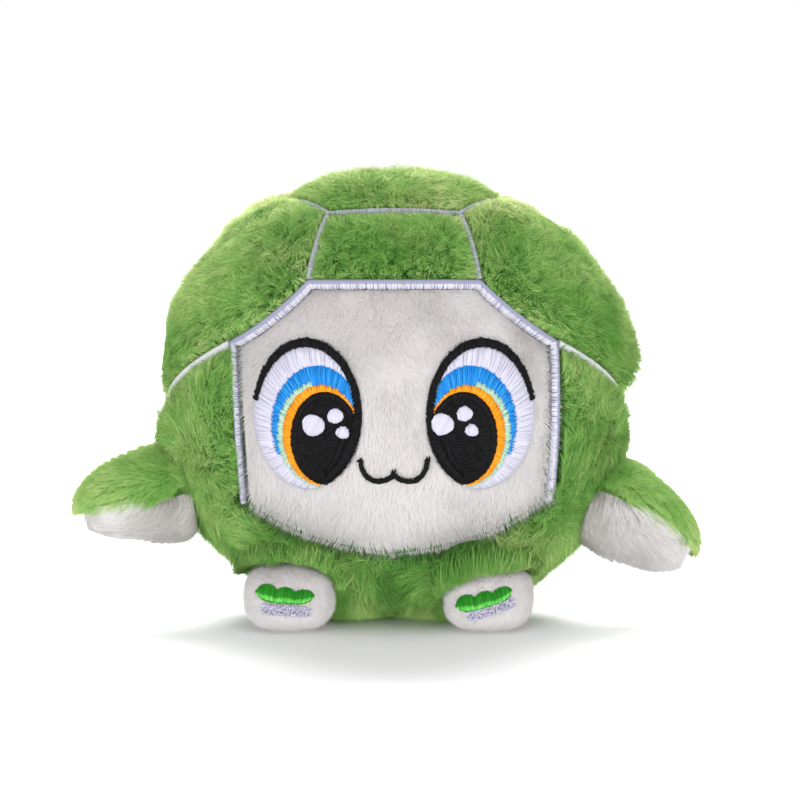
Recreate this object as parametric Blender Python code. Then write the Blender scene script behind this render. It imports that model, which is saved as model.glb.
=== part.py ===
"""Small plush turtle: a foam ball in sewn plush panels, with a scuted shell, an
embroidered face, two feet and two flippers that flap on their sewn roots.

Metres, +Z up, the face looks along -Y, the origin is on the floor under the toy.
Left and right are as seen from the front, so left is -X.
Outer faces lie where the pile ends on average.
"""
import math

import bmesh
import bpy
from mathutils import Matrix, Vector

MM = 0.001

# The ball: half sizes of the surface that the sewn seams lie in
SEAM_HALF_WIDTH = 42.5 * MM
SEAM_HALF_DEPTH = 40.0 * MM
SEAM_HALF_HEIGHT = 40.6 * MM

# Pile and cloth of the panels, measured from the seam surface
GREEN_PILE_RISE = 2.9 * MM
SCUTE_RISES = {
    "scute_top": 2.0 * MM,
    "scute_front": 2.3 * MM,
    "scute_rear": 2.5 * MM,
    "scute_front_left": 3.3 * MM,
    "scute_front_right": 4.4 * MM,
    "scute_rear_left": 3.0 * MM,
    "scute_rear_right": 2.8 * MM,
}
PANEL_DEPTH = 5.5 * MM
FACE_DROP = 1.6 * MM
PUFF_REACH = 6.0 * MM
BELLY_CREASE_SHARE = 0.55

# How deep the belly and the soles are pressed flat on the floor
BELLY_FLAT_DEPTH = 0.9 * MM
SOLE_FLAT_DEPTH = 0.5 * MM

# Gap left between pieces that touch
GAP = 0.3 * MM
MERGE = 0.001 * MM

# How far past its ends a seam's cut runs on
END_MARGIN = 6.0 * MM

# Top hexagon of the shell: half width of its front and rear edges and its reach
HEX_EDGE_HALF = 12.2 * MM
HEX_SIDE_REACH = 20.5 * MM
HEX_FRONT_REACH = 18.4 * MM
HEX_REAR_REACH = 17.0 * MM
HEX_SIDE_Y = -1.0 * MM
HEX_FRONT_MIDDLE_REACH = 20.6 * MM

# Corners of the face panel, as x and z from the ball's centre
FACE_TOP_X = 15.8 * MM
FACE_TOP_Z = 22.0 * MM
FACE_TOP_MIDDLE_Z = 22.2 * MM
FACE_CHEEK_X = 30.0 * MM
FACE_CHEEK_Z = 10.7 * MM
FACE_SIDE_X = 29.6 * MM
FACE_SIDE_Z = -5.5 * MM
FACE_JAW_X = 28.8 * MM
FACE_JAW_Z = -19.2 * MM
FACE_CHIN_Z = -28.6 * MM
FACE_BROW_X = 23.4 * MM
FACE_BROW_Z = 16.5 * MM

# Corners of the shell's rim, from the ball's centre; it is level from the sides back
RIM_SIDE_Y = 4.0 * MM
RIM_LEVEL_Z = -3.5 * MM
RIM_REAR_X = 20.0 * MM

# Satin stitch bands over the seams
SHELL_STITCH_WIDTH = 1.6 * MM
RIM_STITCH_WIDTH = 1.0 * MM
BORDER_STITCH_WIDTH = 1.9 * MM
STITCH_THICKNESS = 0.7 * MM

# Eyes: ellipses about each pupil's centre; a shift is towards the cheek and up
PUPIL_X = 12.95 * MM
PUPIL_Z = -6.67 * MM
PUPIL_HALF_WIDTH = 6.55 * MM
PUPIL_HALF_HEIGHT = 8.87 * MM
ORANGE_SHIFT_X = 0.77 * MM
ORANGE_SHIFT_Z = 0.55 * MM
ORANGE_HALF_WIDTH = 7.2 * MM
ORANGE_HALF_HEIGHT = 9.4 * MM
MINT_SHIFT_X = 1.0 * MM
MINT_SHIFT_Z = 0.9 * MM
MINT_HALF_WIDTH = 8.0 * MM
MINT_HALF_HEIGHT = 9.83 * MM
BLUE_SHIFT_X = 1.45 * MM
BLUE_SHIFT_Z = 2.47 * MM
BLUE_HALF_WIDTH = 8.55 * MM
BLUE_HALF_HEIGHT = 11.3 * MM
EYE_SHIFT_X = 3.55 * MM
EYE_SHIFT_Z = 4.5 * MM
EYE_HALF_WIDTH = 10.25 * MM
EYE_HALF_HEIGHT = 14.4 * MM
OUTLINE_WIDTH = 1.75 * MM
THINNEST_THREAD = 0.45 * MM
EMBROIDERY_THICKNESS = 0.7 * MM
GLINT_THICKNESS = 0.5 * MM

# Glints on both pupils: x to the right, z up, radius; and how far each eye's are moved
GLINTS = (
    ("large", -2.12 * MM, 2.57 * MM, 2.1 * MM),
    ("upper", 2.03 * MM, 4.42 * MM, 1.45 * MM),
    ("small", 3.38 * MM, 1.32 * MM, 1.2 * MM),
)
GLINT_SHIFTS = {"left": (0.0, 0.0), "right": (-1.85 * MM, 0.35 * MM)}

# Mouth: two arcs that meet under the middle of the face
MOUTH_HALF_WIDTH = 6.3 * MM
MOUTH_CORNER_Z = -10.9 * MM
MOUTH_LOW_Z = -14.9 * MM
MOUTH_PEAK_Z = -13.1 * MM
MOUTH_THREAD_RADIUS = 0.45 * MM

# Feet: centre and half sizes, with the wall round their stuffing
FOOT_X = 18.4 * MM
FEET_SHIFT_X = -1.0 * MM
FOOT_Y = -24.6 * MM
FOOT_HALF_WIDTH = 8.6 * MM
FOOT_HALF_DEPTH = 12.0 * MM
FOOT_HALF_HEIGHT = 6.6 * MM
FOOT_WALL = 2.2 * MM
TOE_STITCH_HALF_WIDTH = 5.4 * MM
TOE_STITCH_HEIGHT = 3.9 * MM
TOE_STITCH_Z = 1.6 * MM
TOE_LOBE_DEPTH = 0.7 * MM
SOLE_STITCH_HALF_WIDTH = 5.3 * MM
SOLE_STITCH_HEIGHT = 2.3 * MM
SOLE_STITCH_Z = -1.9 * MM
FOOT_STITCH_THICKNESS = 0.6 * MM

# Flippers: hinge just outside the pile at the root, length from it, and half sizes
HINGE_OUT = 3.0 * MM
HINGE_Y = -6.0 * MM
HINGE_Z = {"left": -16.8 * MM, "right": -18.6 * MM}
FLIPPER_LENGTH = 17.4 * MM
FLIPPER_HALF_CHORD = 10.5 * MM
FLIPPER_HALF_THICKNESS = 7.8 * MM
FLIPPER_WALL = 3.2 * MM
FLIPPER_WIDEST_SHARE = 0.38
FLIPPER_TIP_POWER = 1.9
FLIPPER_DROOP = {"left": math.radians(8.0), "right": math.radians(25.0)}
FLIPPER_ROLL = {"left": math.radians(0.0), "right": math.radians(12.0)}

# Counts of facets
BALL_CUTS = 11
CORE_CUTS = 7
EYE_STEPS = 24
TOE_STEPS = 18
BAND_STEPS = 5
LIMB_RINGS = 10
LIMB_SEGMENTS = 18
PUPIL_RINGS = 3
MOUTH_STEPS = 10
TOE_LOBES = 3

# Corners sharper than this keep a hard edge in the shading
SHARP_ANGLE = math.radians(50)

# The least cosine that a mitred band corner is stretched for
MITRE_LIMIT_SHARE = 0.5

SIDES = {"left": -1, "right": 1}

BALL_CENTRE_HEIGHT = SEAM_HALF_HEIGHT + GREEN_PILE_RISE - BELLY_FLAT_DEPTH
FOOT_CENTRE_HEIGHT = FOOT_HALF_HEIGHT - SOLE_FLAT_DEPTH

# The ball's centre is moved off the origin so that the whole toy's box is centred on it
BALL_X = FLIPPER_LENGTH * (math.cos(FLIPPER_DROOP["left"]) - math.cos(FLIPPER_DROOP["right"])) / 2
BALL_Y = -(SCUTE_RISES["scute_rear"] + FACE_DROP - EMBROIDERY_THICKNESS) / 2


class Ellipsoid:
    """A surface with three half sizes about its own centre, and its offset layers."""

    def __init__(self, half_x, half_y, half_z):
        self.half = Vector((half_x, half_y, half_z))

    def lift(self, point, rise=0.0):
        """Move a point along its ray from the centre to the layer at a rise."""
        layer = [half + rise for half in self.half]
        reach = math.sqrt(sum((c / half) ** 2 for c, half in zip(point, layer)))
        return Vector(point) / reach

    def rest(self, first, first_half, second, second_half):
        return math.sqrt(max(0.0, 1 - (first / first_half) ** 2 - (second / second_half) ** 2))

    def front(self, x, z):
        return Vector((x, -self.half.y * self.rest(x, self.half.x, z, self.half.z), z))

    def top(self, x, y):
        return Vector((x, y, self.half.z * self.rest(x, self.half.x, y, self.half.y)))

    def side(self, sign, y, z):
        return Vector((sign * self.half.x * self.rest(y, self.half.y, z, self.half.z), y, z))

    def back(self, x, z):
        return self.front(x, z) * Vector((1, -1, 1))

    def normal(self, point):
        """Direction straight out of the surface at one of its points."""
        return Vector([c / half ** 2 for c, half in zip(point, self.half)]).normalized()

    def from_point(self, start, towards):
        """Point where the ray from start through towards leaves the surface."""
        run = towards - start
        a = sum((r / half) ** 2 for r, half in zip(run, self.half))
        b = sum(s * r / half ** 2 for s, r, half in zip(start, run, self.half))
        c = sum((s / half) ** 2 for s, half in zip(start, self.half)) - 1
        return start + run * ((-b + math.sqrt(b * b - a * c)) / a)


BALL = Ellipsoid(SEAM_HALF_WIDTH, SEAM_HALF_DEPTH, SEAM_HALF_HEIGHT)
FOOT = Ellipsoid(FOOT_HALF_WIDTH, FOOT_HALF_DEPTH, FOOT_HALF_HEIGHT)
CENTRE = Vector((0, 0, 0))


class Seam:
    """The plane of a seam between two corners, through a third point."""

    def __init__(self, start, end, through=CENTRE):
        self.start = start
        self.end = end
        self.normal = (start - through).cross(end - through).normalized()
        self.offset = self.normal.dot(through)

    def distance(self, point):
        return self.normal.dot(point) - self.offset

    def facing(self, point, away=False):
        """The same seam with its normal towards a point, or away from it."""
        turned = Seam.__new__(Seam)
        turned.start = self.start
        turned.end = self.end
        sign = 1 if (self.distance(point) > 0) != away else -1
        turned.normal = self.normal * sign
        turned.offset = self.offset * sign
        return turned

    def path(self, share):
        """Point on the ball's seam surface, in the seam's plane, at a share of its run."""
        return BALL.from_point(self.normal * self.offset, self.start.lerp(self.end, share))

    def length(self):
        return (self.end - self.start).length

    def runs_by(self, point):
        """Whether a point lies beside the seam's run, or just past its ends."""
        share = (point - self.start).dot(self.end - self.start) / self.length() ** 2
        past = END_MARGIN / self.length()
        return -past < share < 1 + past and abs(self.distance(point)) < END_MARGIN


def corners():
    """Every corner of the sewing pattern, by name, with its side's sign for pairs."""
    place = {
        "chin": BALL.front(0, FACE_CHIN_Z), "top_middle": BALL.front(0, FACE_TOP_MIDDLE_Z),
        "hex_front_middle": BALL.top(0, -HEX_FRONT_MIDDLE_REACH)}
    for side, sign in SIDES.items():
        place[f"hex_front_{side}"] = BALL.top(sign * HEX_EDGE_HALF, -HEX_FRONT_REACH)
        place[f"hex_side_{side}"] = BALL.top(sign * HEX_SIDE_REACH, HEX_SIDE_Y)
        place[f"hex_rear_{side}"] = BALL.top(sign * HEX_EDGE_HALF, HEX_REAR_REACH)
        place[f"top_{side}"] = BALL.front(sign * FACE_TOP_X, FACE_TOP_Z)
        place[f"brow_{side}"] = BALL.front(sign * FACE_BROW_X, FACE_BROW_Z)
        place[f"cheek_{side}"] = BALL.front(sign * FACE_CHEEK_X, FACE_CHEEK_Z)
        place[f"middle_{side}"] = BALL.front(sign * FACE_SIDE_X, FACE_SIDE_Z)
        place[f"jaw_{side}"] = BALL.front(sign * FACE_JAW_X, FACE_JAW_Z)
        place[f"rim_side_{side}"] = BALL.side(sign, RIM_SIDE_Y, RIM_LEVEL_Z)
        place[f"rim_rear_{side}"] = BALL.back(sign * RIM_REAR_X, RIM_LEVEL_Z)
    return place


def seams(place):
    """Every seam of the pattern, by name."""
    seam = {
        "hex_front": Seam(
            place["hex_front_left"], place["hex_front_right"], place["hex_front_middle"]),
        "hex_rear": Seam(place["hex_rear_right"], place["hex_rear_left"]),
        "face_top": Seam(place["top_left"], place["top_right"], place["top_middle"]),
        "face_chin": Seam(place["jaw_right"], place["jaw_left"], place["chin"]),
        "rim_rear": Seam(place["rim_rear_right"], place["rim_rear_left"], place["rim_side_left"]),
    }
    for side in SIDES:
        at = {name.removesuffix(f"_{side}"): place[name] for name in place}
        seam[f"hex_fore_{side}"] = Seam(at["hex_side"], at["hex_front"])
        seam[f"hex_aft_{side}"] = Seam(at["hex_rear"], at["hex_side"])
        seam[f"fore_{side}"] = Seam(at["hex_front"], at["top"])
        seam[f"side_{side}"] = Seam(at["hex_side"], at["rim_side"])
        seam[f"aft_{side}"] = Seam(at["hex_rear"], at["rim_rear"])
        seam[f"face_brow_{side}"] = Seam(at["cheek"], at["top"], at["brow"])
        seam[f"face_side_{side}"] = Seam(at["jaw"], at["cheek"], at["middle"])
        seam[f"rim_fore_{side}"] = Seam(at["cheek"], at["rim_side"])
        across = place["rim_side_right" if side == "left" else "rim_side_left"]
        seam[f"rim_aft_{side}"] = Seam(at["rim_side"], at["rim_rear"], across)
    return seam


PLACE = corners()
SEAM = seams(PLACE)
FACE_SEAMS = ["face_top", "face_chin"] + [f"face_{n}_{s}" for s in SIDES for n in ("brow", "side")]
FACE_POINT = BALL.front(0, 0)
TOP_POINT = BALL.top(0, 0)

SCUTES = {
    "scute_top": ["hex_front", "hex_rear"] + [f"hex_{n}_{s}" for s in SIDES for n in ("fore", "aft")],
    "scute_front": ["hex_front", "fore_left", "fore_right", "face_top"],
    "scute_rear": ["hex_rear", "aft_left", "aft_right", "rim_rear"],
}
for _side in SIDES:
    SCUTES[f"scute_front_{_side}"] = [
        f"hex_fore_{_side}", f"fore_{_side}", f"side_{_side}", f"face_brow_{_side}", f"rim_fore_{_side}"]
    SCUTES[f"scute_rear_{_side}"] = [
        f"hex_aft_{_side}", f"side_{_side}", f"aft_{_side}", f"rim_aft_{_side}"]


def puff(distance, valley):
    """Share of the pile's full rise at a distance from the nearest seam."""
    share = min(1.0, max(0.0, (distance - valley) / PUFF_REACH))
    return 1 - (1 - share) ** 2


def band_valley(width):
    return width / 2 + GAP


def ball_surface(cuts=BALL_CUTS):
    """An even quad sphere on the seam surface."""
    mesh = bmesh.new()
    bmesh.ops.create_cube(mesh, size=2)
    bmesh.ops.subdivide_edges(mesh, edges=mesh.edges[:], cuts=cuts, use_grid_fill=True)
    for vert in mesh.verts:
        even = Vector([math.tan(c * math.pi / 4) for c in vert.co])
        vert.co = BALL.lift(even)
    return mesh


def split(mesh, seam, distance, clear=False, run_only=False):
    """Cut the mesh along a seam's plane, moved towards its normal by a distance."""
    faces = [face for face in mesh.faces if not run_only or seam.runs_by(face.calc_center_median())]
    edges = dict.fromkeys(edge for face in faces for edge in face.edges)
    verts = dict.fromkeys(vert for face in faces for vert in face.verts)
    geometry = list(verts) + list(edges) + faces
    point = seam.normal * (seam.offset + distance)
    bmesh.ops.bisect_plane(
        mesh, geom=geometry, dist=MERGE, plane_co=point, plane_no=seam.normal, clear_inner=clear)


def keep_faces(mesh, test):
    unwanted = [face for face in mesh.faces if not test(face.calc_center_median())]
    bmesh.ops.delete(mesh, geom=unwanted, context="FACES")


def thicken(mesh, inner, outer):
    """Make a closed solid of an open patch: its own points and a copy are both moved."""
    started = mesh.verts[:]
    grown = bmesh.ops.extrude_face_region(mesh, geom=mesh.faces[:])["geom"]
    for vert in [item for item in grown if isinstance(item, bmesh.types.BMVert)]:
        vert.co = outer(vert.co)
    for vert in started:
        vert.co = inner(vert.co)


def flatten(mesh, floor):
    """Press the part of a closed mesh that lies under a height flat."""
    geometry = mesh.verts[:] + mesh.edges[:] + mesh.faces[:]
    bmesh.ops.bisect_plane(
        mesh, geom=geometry, dist=MERGE, plane_co=(0, 0, floor), plane_no=(0, 0, 1))
    for vert in mesh.verts:
        vert.co.z = max(vert.co.z, floor)


def add_object(name, mesh, material, location=CENTRE):
    """Close the mesh as a named object of the turtle."""
    bmesh.ops.remove_doubles(mesh, verts=mesh.verts[:], dist=MERGE)
    bmesh.ops.triangulate(mesh, faces=mesh.faces[:])
    bmesh.ops.recalc_face_normals(mesh, faces=mesh.faces[:])
    data = bpy.data.meshes.new(name)
    mesh.to_mesh(data)
    mesh.free()
    data.shade_smooth()
    data.set_sharp_from_angle(angle=SHARP_ANGLE)
    data.materials.append(MATERIALS[material])
    piece = bpy.data.objects.new(name, data)
    piece.location = location
    PARTS.objects.link(piece)
    return piece


def ball_location():
    return Vector((BALL_X, BALL_Y, BALL_CENTRE_HEIGHT))


def make_scute(name, seam_names):
    """One puffed panel of the shell, cut out of the ball along its seams."""
    mesh = ball_surface()
    middle = sum((SEAM[n].path(0.5) for n in seam_names), Vector()) / len(seam_names)
    edges = [SEAM[n].facing(middle) for n in seam_names]
    valley = band_valley(SHELL_STITCH_WIDTH)
    for edge in edges:
        split(mesh, edge, GAP / 2, clear=True)
    for edge in edges:
        split(mesh, edge, valley)

    def outer(point):
        rise = SCUTE_RISES[name] * puff(min(edge.distance(point) for edge in edges), valley)
        return BALL.lift(point, rise)

    thicken(mesh, lambda point: BALL.lift(point, -PANEL_DEPTH), outer)
    add_object(name, mesh, "green_plush", ball_location())


def make_face_panel():
    mesh = ball_surface()
    for name in FACE_SEAMS:
        split(mesh, SEAM[name].facing(FACE_POINT), GAP / 2, clear=True)
    thicken(
        mesh, lambda point: BALL.lift(point, -PANEL_DEPTH), lambda point: BALL.lift(point, -FACE_DROP))
    add_object("face_panel", mesh, "white_plush", ball_location())


def make_body_panel(side, sign):
    """Half of the green cover below the shell's rim and round the face."""
    mesh = ball_surface()
    face = [SEAM[n].facing(FACE_POINT, away=True) for n in FACE_SEAMS]
    rim_names = (f"rim_fore_{side}", f"rim_aft_{side}", "rim_rear")
    rim = [SEAM[n].facing(TOP_POINT, away=True) for n in rim_names]
    middle = Seam(TOP_POINT, FACE_POINT).facing(sign * PLACE["rim_side_right"])
    valley = band_valley(BORDER_STITCH_WIDTH)

    def outside(point, edges):
        return max(edge.distance(point) for edge in edges)

    split(mesh, middle, GAP / 2, clear=True)
    for edge in face + rim:
        split(mesh, edge, GAP / 2, run_only=True)
        split(mesh, edge, valley, run_only=True)
    keep_faces(mesh, lambda p: outside(p, face) > GAP / 2 and outside(p, rim) > GAP / 2)

    def outer(point):
        near = min(outside(point, face), outside(point, rim))
        crease = 1 - BELLY_CREASE_SHARE * (1 - puff(middle.distance(point), 0.0))
        return BALL.lift(point, GREEN_PILE_RISE * puff(near, valley) * crease)

    thicken(mesh, lambda point: BALL.lift(point, -PANEL_DEPTH), outer)
    flatten(mesh, -BALL_CENTRE_HEIGHT)
    add_object(f"body_panel_{side}", mesh, "green_plush", ball_location())


def make_core():
    mesh = ball_surface(CORE_CUTS)
    for vert in mesh.verts:
        vert.co = BALL.lift(vert.co, -PANEL_DEPTH - GAP)
    add_object("foam_core", mesh, "foam", ball_location())


def strip(columns, rows):
    """A flat strip of quads with its points at shares along x and y."""
    mesh = bmesh.new()
    bmesh.ops.create_grid(mesh, x_segments=columns, y_segments=rows, size=0.5)
    bmesh.ops.translate(mesh, verts=mesh.verts[:], vec=(0.5, 0.5, 0))
    return mesh


def lay(mesh, surface, inner_rise, outer_rise, place):
    """Place a strip's points on a surface and give it the stitches' thickness."""
    for vert in mesh.verts:
        vert.co = place(vert.co.x, vert.co.y)
    bmesh.ops.remove_doubles(mesh, verts=mesh.verts[:], dist=MERGE)
    thicken(
        mesh, lambda point: surface.lift(point, inner_rise), lambda point: surface.lift(point, outer_rise))


def make_band(name, chain, width, material, closed=False, trim=(0.0, 0.0)):
    """A satin stitch band over a chain of seams, drawn back from its two ends."""
    first = trim[0] / chain[0].length()
    last = 1 - trim[1] / chain[-1].length()
    points = []
    for index, seam in enumerate(chain):
        start = first if index == 0 else 0.0
        end = last if index == len(chain) - 1 else 1.0
        for step in range(BAND_STEPS):
            points.append((seam.path(start + (end - start) * step / BAND_STEPS), seam.normal))
    if closed:
        points.append(points[0])
    else:
        points.append((chain[-1].path(last), chain[-1].normal))

    def across(index):
        """Direction across the band, mitred where two seams meet."""
        here = points[index][1]
        before = points[index - 1][1] if index > 0 else (points[-2][1] if closed else here)
        both = (here + before).normalized()
        return both / max(MITRE_LIMIT_SHARE, both.dot(here))

    def place(along, over):
        index = round(along * (len(points) - 1))
        middle = points[index][0]
        edge = across(0 if closed and index == len(points) - 1 else index)
        return BALL.lift(middle + edge * width * (over - 0.5))

    mesh = strip(len(points) - 1, 2)
    lay(mesh, BALL, GAP, GAP + STITCH_THICKNESS, place)
    add_object(name, mesh, material, ball_location())


def make_bands():
    hexagon = [
        SEAM["hex_front"].facing(TOP_POINT), backwards("hex_fore_right", TOP_POINT),
        backwards("hex_aft_right", TOP_POINT), SEAM["hex_rear"].facing(TOP_POINT),
        SEAM["hex_aft_left"].facing(TOP_POINT), SEAM["hex_fore_left"].facing(TOP_POINT)]
    make_band("hexagon_stitch", hexagon, SHELL_STITCH_WIDTH, "seam_thread", closed=True)
    from_hexagon = SHELL_STITCH_WIDTH / 2 + GAP + SHELL_STITCH_WIDTH / 4
    ends = {"fore": BORDER_STITCH_WIDTH, "side": RIM_STITCH_WIDTH, "aft": RIM_STITCH_WIDTH}
    for side in SIDES:
        for name, met_width in ends.items():
            trim = (from_hexagon, met_width / 2 + GAP + SHELL_STITCH_WIDTH / 4)
            make_band(
                f"{name}_scute_stitch_{side}", [SEAM[f"{name}_{side}"]], SHELL_STITCH_WIDTH,
                "seam_thread", trim=trim)
    border = [
        SEAM["face_side_left"].facing(FACE_POINT), SEAM["face_brow_left"].facing(FACE_POINT),
        SEAM["face_top"].facing(FACE_POINT), backwards("face_brow_right", FACE_POINT),
        backwards("face_side_right", FACE_POINT)]
    make_band("face_border_stitch", border, BORDER_STITCH_WIDTH, "seam_thread")
    rim = [
        SEAM["rim_fore_left"].facing(TOP_POINT), SEAM["rim_aft_left"].facing(TOP_POINT),
        backwards("rim_rear", TOP_POINT), backwards("rim_aft_right", TOP_POINT),
        backwards("rim_fore_right", TOP_POINT)]
    clear = BORDER_STITCH_WIDTH / 2 + GAP + RIM_STITCH_WIDTH
    make_band("rim_stitch", rim, RIM_STITCH_WIDTH, "rim_thread", trim=(clear, clear))


def backwards(name, inside):
    """A seam run from its end to its start, facing a point."""
    seam = SEAM[name].facing(inside)
    seam.start, seam.end = seam.end, seam.start
    return seam


def ellipse_reach(angle, shift_x, shift_z, half_width, half_height):
    """Distance from the pupil's centre to a shifted ellipse, at an angle."""
    run = (math.cos(angle) / half_width, math.sin(angle) / half_height)
    start = (shift_x / half_width, shift_z / half_height)
    a = run[0] ** 2 + run[1] ** 2
    b = run[0] * start[0] + run[1] * start[1]
    c = start[0] ** 2 + start[1] ** 2 - 1
    return (b + math.sqrt(max(0.0, b * b - a * c))) / a


def eye_reach(angle, shrink=0.0):
    return ellipse_reach(
        angle, -EYE_SHIFT_X, EYE_SHIFT_Z, EYE_HALF_WIDTH - shrink, EYE_HALF_HEIGHT - shrink)


def eye_limit(angle):
    """Where the fills stop: at the outline's inner edge, or the eye's edge past its ends."""
    return eye_reach(angle, OUTLINE_WIDTH + GAP if beside(angle, OUTLINE_RANGE) else 0.0)


def beside(angle, limits):
    """Whether an angle is within a fill's range, or just past its ends."""
    turn = (angle - limits[0] + FILL_PAST) % (2 * math.pi)
    return turn <= limits[1] - limits[0] + 2 * FILL_PAST


def pupil_reach(angle):
    return ellipse_reach(angle, 0, 0, PUPIL_HALF_WIDTH, PUPIL_HALF_HEIGHT)


def orange_reach(angle):
    return ellipse_reach(
        angle, -ORANGE_SHIFT_X, ORANGE_SHIFT_Z, ORANGE_HALF_WIDTH, ORANGE_HALF_HEIGHT)


def mint_reach(angle):
    return ellipse_reach(angle, -MINT_SHIFT_X, MINT_SHIFT_Z, MINT_HALF_WIDTH, MINT_HALF_HEIGHT)


def blue_reach(angle):
    return ellipse_reach(angle, -BLUE_SHIFT_X, BLUE_SHIFT_Z, BLUE_HALF_WIDTH, BLUE_HALF_HEIGHT)


# Angles that each fill of the left eye spans about the pupil's centre, from the right, upwards
OUTLINE_RANGE = (math.radians(-88), math.radians(152))
ORANGE_RANGE = (math.radians(68), math.radians(255))
FILL_PAST = math.radians(9)
MINT_RANGE = (math.radians(130), math.radians(250))
BLUE_RANGE = (math.radians(68), math.radians(190))
WHITE_RANGE = (math.radians(86), math.radians(248))


def at_least(inner, outer):
    return max(outer, inner + THINNEST_THREAD)


def eye_fills():
    """Name, material, angles, and inner and outer reach of each fill round the pupil."""

    def orange_inner(angle):
        return pupil_reach(angle) + GAP

    def orange_outer(angle):
        return at_least(orange_inner(angle), min(orange_reach(angle), eye_limit(angle)))

    def mint_inner(angle):
        return orange_outer(angle) + GAP

    def mint_outer(angle):
        return at_least(mint_inner(angle), min(mint_reach(angle), eye_limit(angle)))

    def blue_inner(angle):
        return (mint_outer(angle) if beside(angle, MINT_RANGE) else orange_outer(angle)) + GAP

    def blue_outer(angle):
        return at_least(blue_inner(angle), min(blue_reach(angle), eye_limit(angle)))

    def white_inner(angle):
        return (blue_outer(angle) if beside(angle, BLUE_RANGE) else mint_outer(angle)) + GAP

    def white_outer(angle):
        return at_least(white_inner(angle), eye_limit(angle))

    return (
        ("iris_orange", "orange_thread", ORANGE_RANGE, orange_inner, orange_outer),
        ("iris_mint", "mint_thread", MINT_RANGE, mint_inner, mint_outer),
        ("iris_blue", "blue_thread", BLUE_RANGE, blue_inner, blue_outer),
        ("eye_white", "white_thread", WHITE_RANGE, white_inner, white_outer),
        ("eye_outline", "black_thread", OUTLINE_RANGE,
         lambda angle: eye_reach(angle, OUTLINE_WIDTH), eye_reach),
    )


def face_point(sign, x, z):
    """A point of the seam surface, from an offset to a pupil's centre."""
    return BALL.front(sign * PUPIL_X + x, PUPIL_Z + z)


def make_eye(side, sign):
    """The embroidered fills of one eye; the right eye mirrors the left."""
    low = -FACE_DROP + GAP
    high = low + EMBROIDERY_THICKNESS
    for name, material, limits, inner, outer in eye_fills():
        def place(along, over):
            angle = limits[0] + (limits[1] - limits[0]) * along
            reach = inner(angle) + (outer(angle) - inner(angle)) * over
            return face_point(sign, -sign * reach * math.cos(angle), reach * math.sin(angle))

        mesh = strip(EYE_STEPS, 2 if name == "eye_white" else 1)
        lay(mesh, BALL, low, high, place)
        add_object(f"{name}_{side}", mesh, material, ball_location())

    def pupil_place(along, over):
        angle = 2 * math.pi * along
        reach = min(pupil_reach(angle), eye_limit(angle)) * (1 - over)
        return face_point(sign, -sign * reach * math.cos(angle), reach * math.sin(angle))

    mesh = strip(EYE_STEPS, PUPIL_RINGS)
    lay(mesh, BALL, low, high, pupil_place)
    add_object(f"pupil_{side}", mesh, "black_thread", ball_location())

    shift_x, shift_z = GLINT_SHIFTS[side]
    for name, x, z, radius in GLINTS:
        def glint_place(along, over):
            angle = 2 * math.pi * along
            reach = radius * (1 - over)
            return face_point(
                sign, x + shift_x + reach * math.cos(angle), z + shift_z + reach * math.sin(angle))

        mesh = strip(EYE_STEPS // 2, 1)
        lay(mesh, BALL, high + GAP, high + GAP + GLINT_THICKNESS, glint_place)
        add_object(f"glint_{name}_{side}", mesh, "white_thread", ball_location())


def tube(name, points, radius, material, location):
    """A round stitch along a run of points, as one closed mesh."""
    curve = bpy.data.curves.new(name, "CURVE")
    curve.dimensions = "3D"
    curve.bevel_depth = radius
    curve.bevel_resolution = 1
    curve.use_fill_caps = True
    curve.render_resolution_u = 0
    spline = curve.splines.new("POLY")
    spline.points.add(len(points) - 1)
    for target, point in zip(spline.points, points):
        target.co = (*point, 1)
    guide = bpy.data.objects.new(f"{name}_guide", curve)
    bpy.context.scene.collection.objects.link(guide)
    graph = bpy.context.evaluated_depsgraph_get()
    data = bpy.data.meshes.new_from_object(guide.evaluated_get(graph))
    mesh = bmesh.new()
    mesh.from_mesh(data)
    bpy.data.objects.remove(guide)
    add_object(name, mesh, material, location)


def make_mouth():
    """Two hanging arcs, each half an ellipse that ends higher at the corner."""
    points = []
    middle = MOUTH_HALF_WIDTH / 2
    rise = -FACE_DROP + GAP + MOUTH_THREAD_RADIUS
    for sign in (-1, 1):
        arc = []
        for step in range(MOUTH_STEPS + 1):
            angle = math.pi * step / MOUTH_STEPS
            inner_end = MOUTH_PEAK_Z if angle < math.pi / 2 else MOUTH_CORNER_Z
            x = sign * (middle - middle * math.cos(angle))
            z = inner_end - (inner_end - MOUTH_LOW_Z) * math.sin(angle)
            arc.append(BALL.lift(BALL.front(x, z), rise))
        points += arc[::-1] if sign < 0 else arc[1:]
    tube("mouth_stitch", points, MOUTH_THREAD_RADIUS, "black_thread", ball_location())


def limb_surface():
    """A unit sphere with its poles on the X axis."""
    mesh = bmesh.new()
    turn = Matrix.Rotation(math.pi / 2, 4, "Y")
    bmesh.ops.create_uvsphere(
        mesh, u_segments=LIMB_SEGMENTS, v_segments=LIMB_RINGS, radius=1, matrix=turn)
    return mesh


def ball_cutter(clearance):
    """The ball's full outer form, grown by a clearance, to cut the feet with."""
    mesh = ball_surface()
    for vert in mesh.verts:
        vert.co = BALL.lift(vert.co, GREEN_PILE_RISE + clearance)
    return add_cutter("ball_cutter", mesh, ball_location())


def add_cutter(name, mesh, location):
    bmesh.ops.recalc_face_normals(mesh, faces=mesh.faces[:])
    data = bpy.data.meshes.new(name)
    mesh.to_mesh(data)
    mesh.free()
    cutter = bpy.data.objects.new(name, data)
    cutter.location = location
    cutter.hide_render = True
    cutter.display_type = "WIRE"
    CUTTERS.objects.link(cutter)
    return cutter


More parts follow.
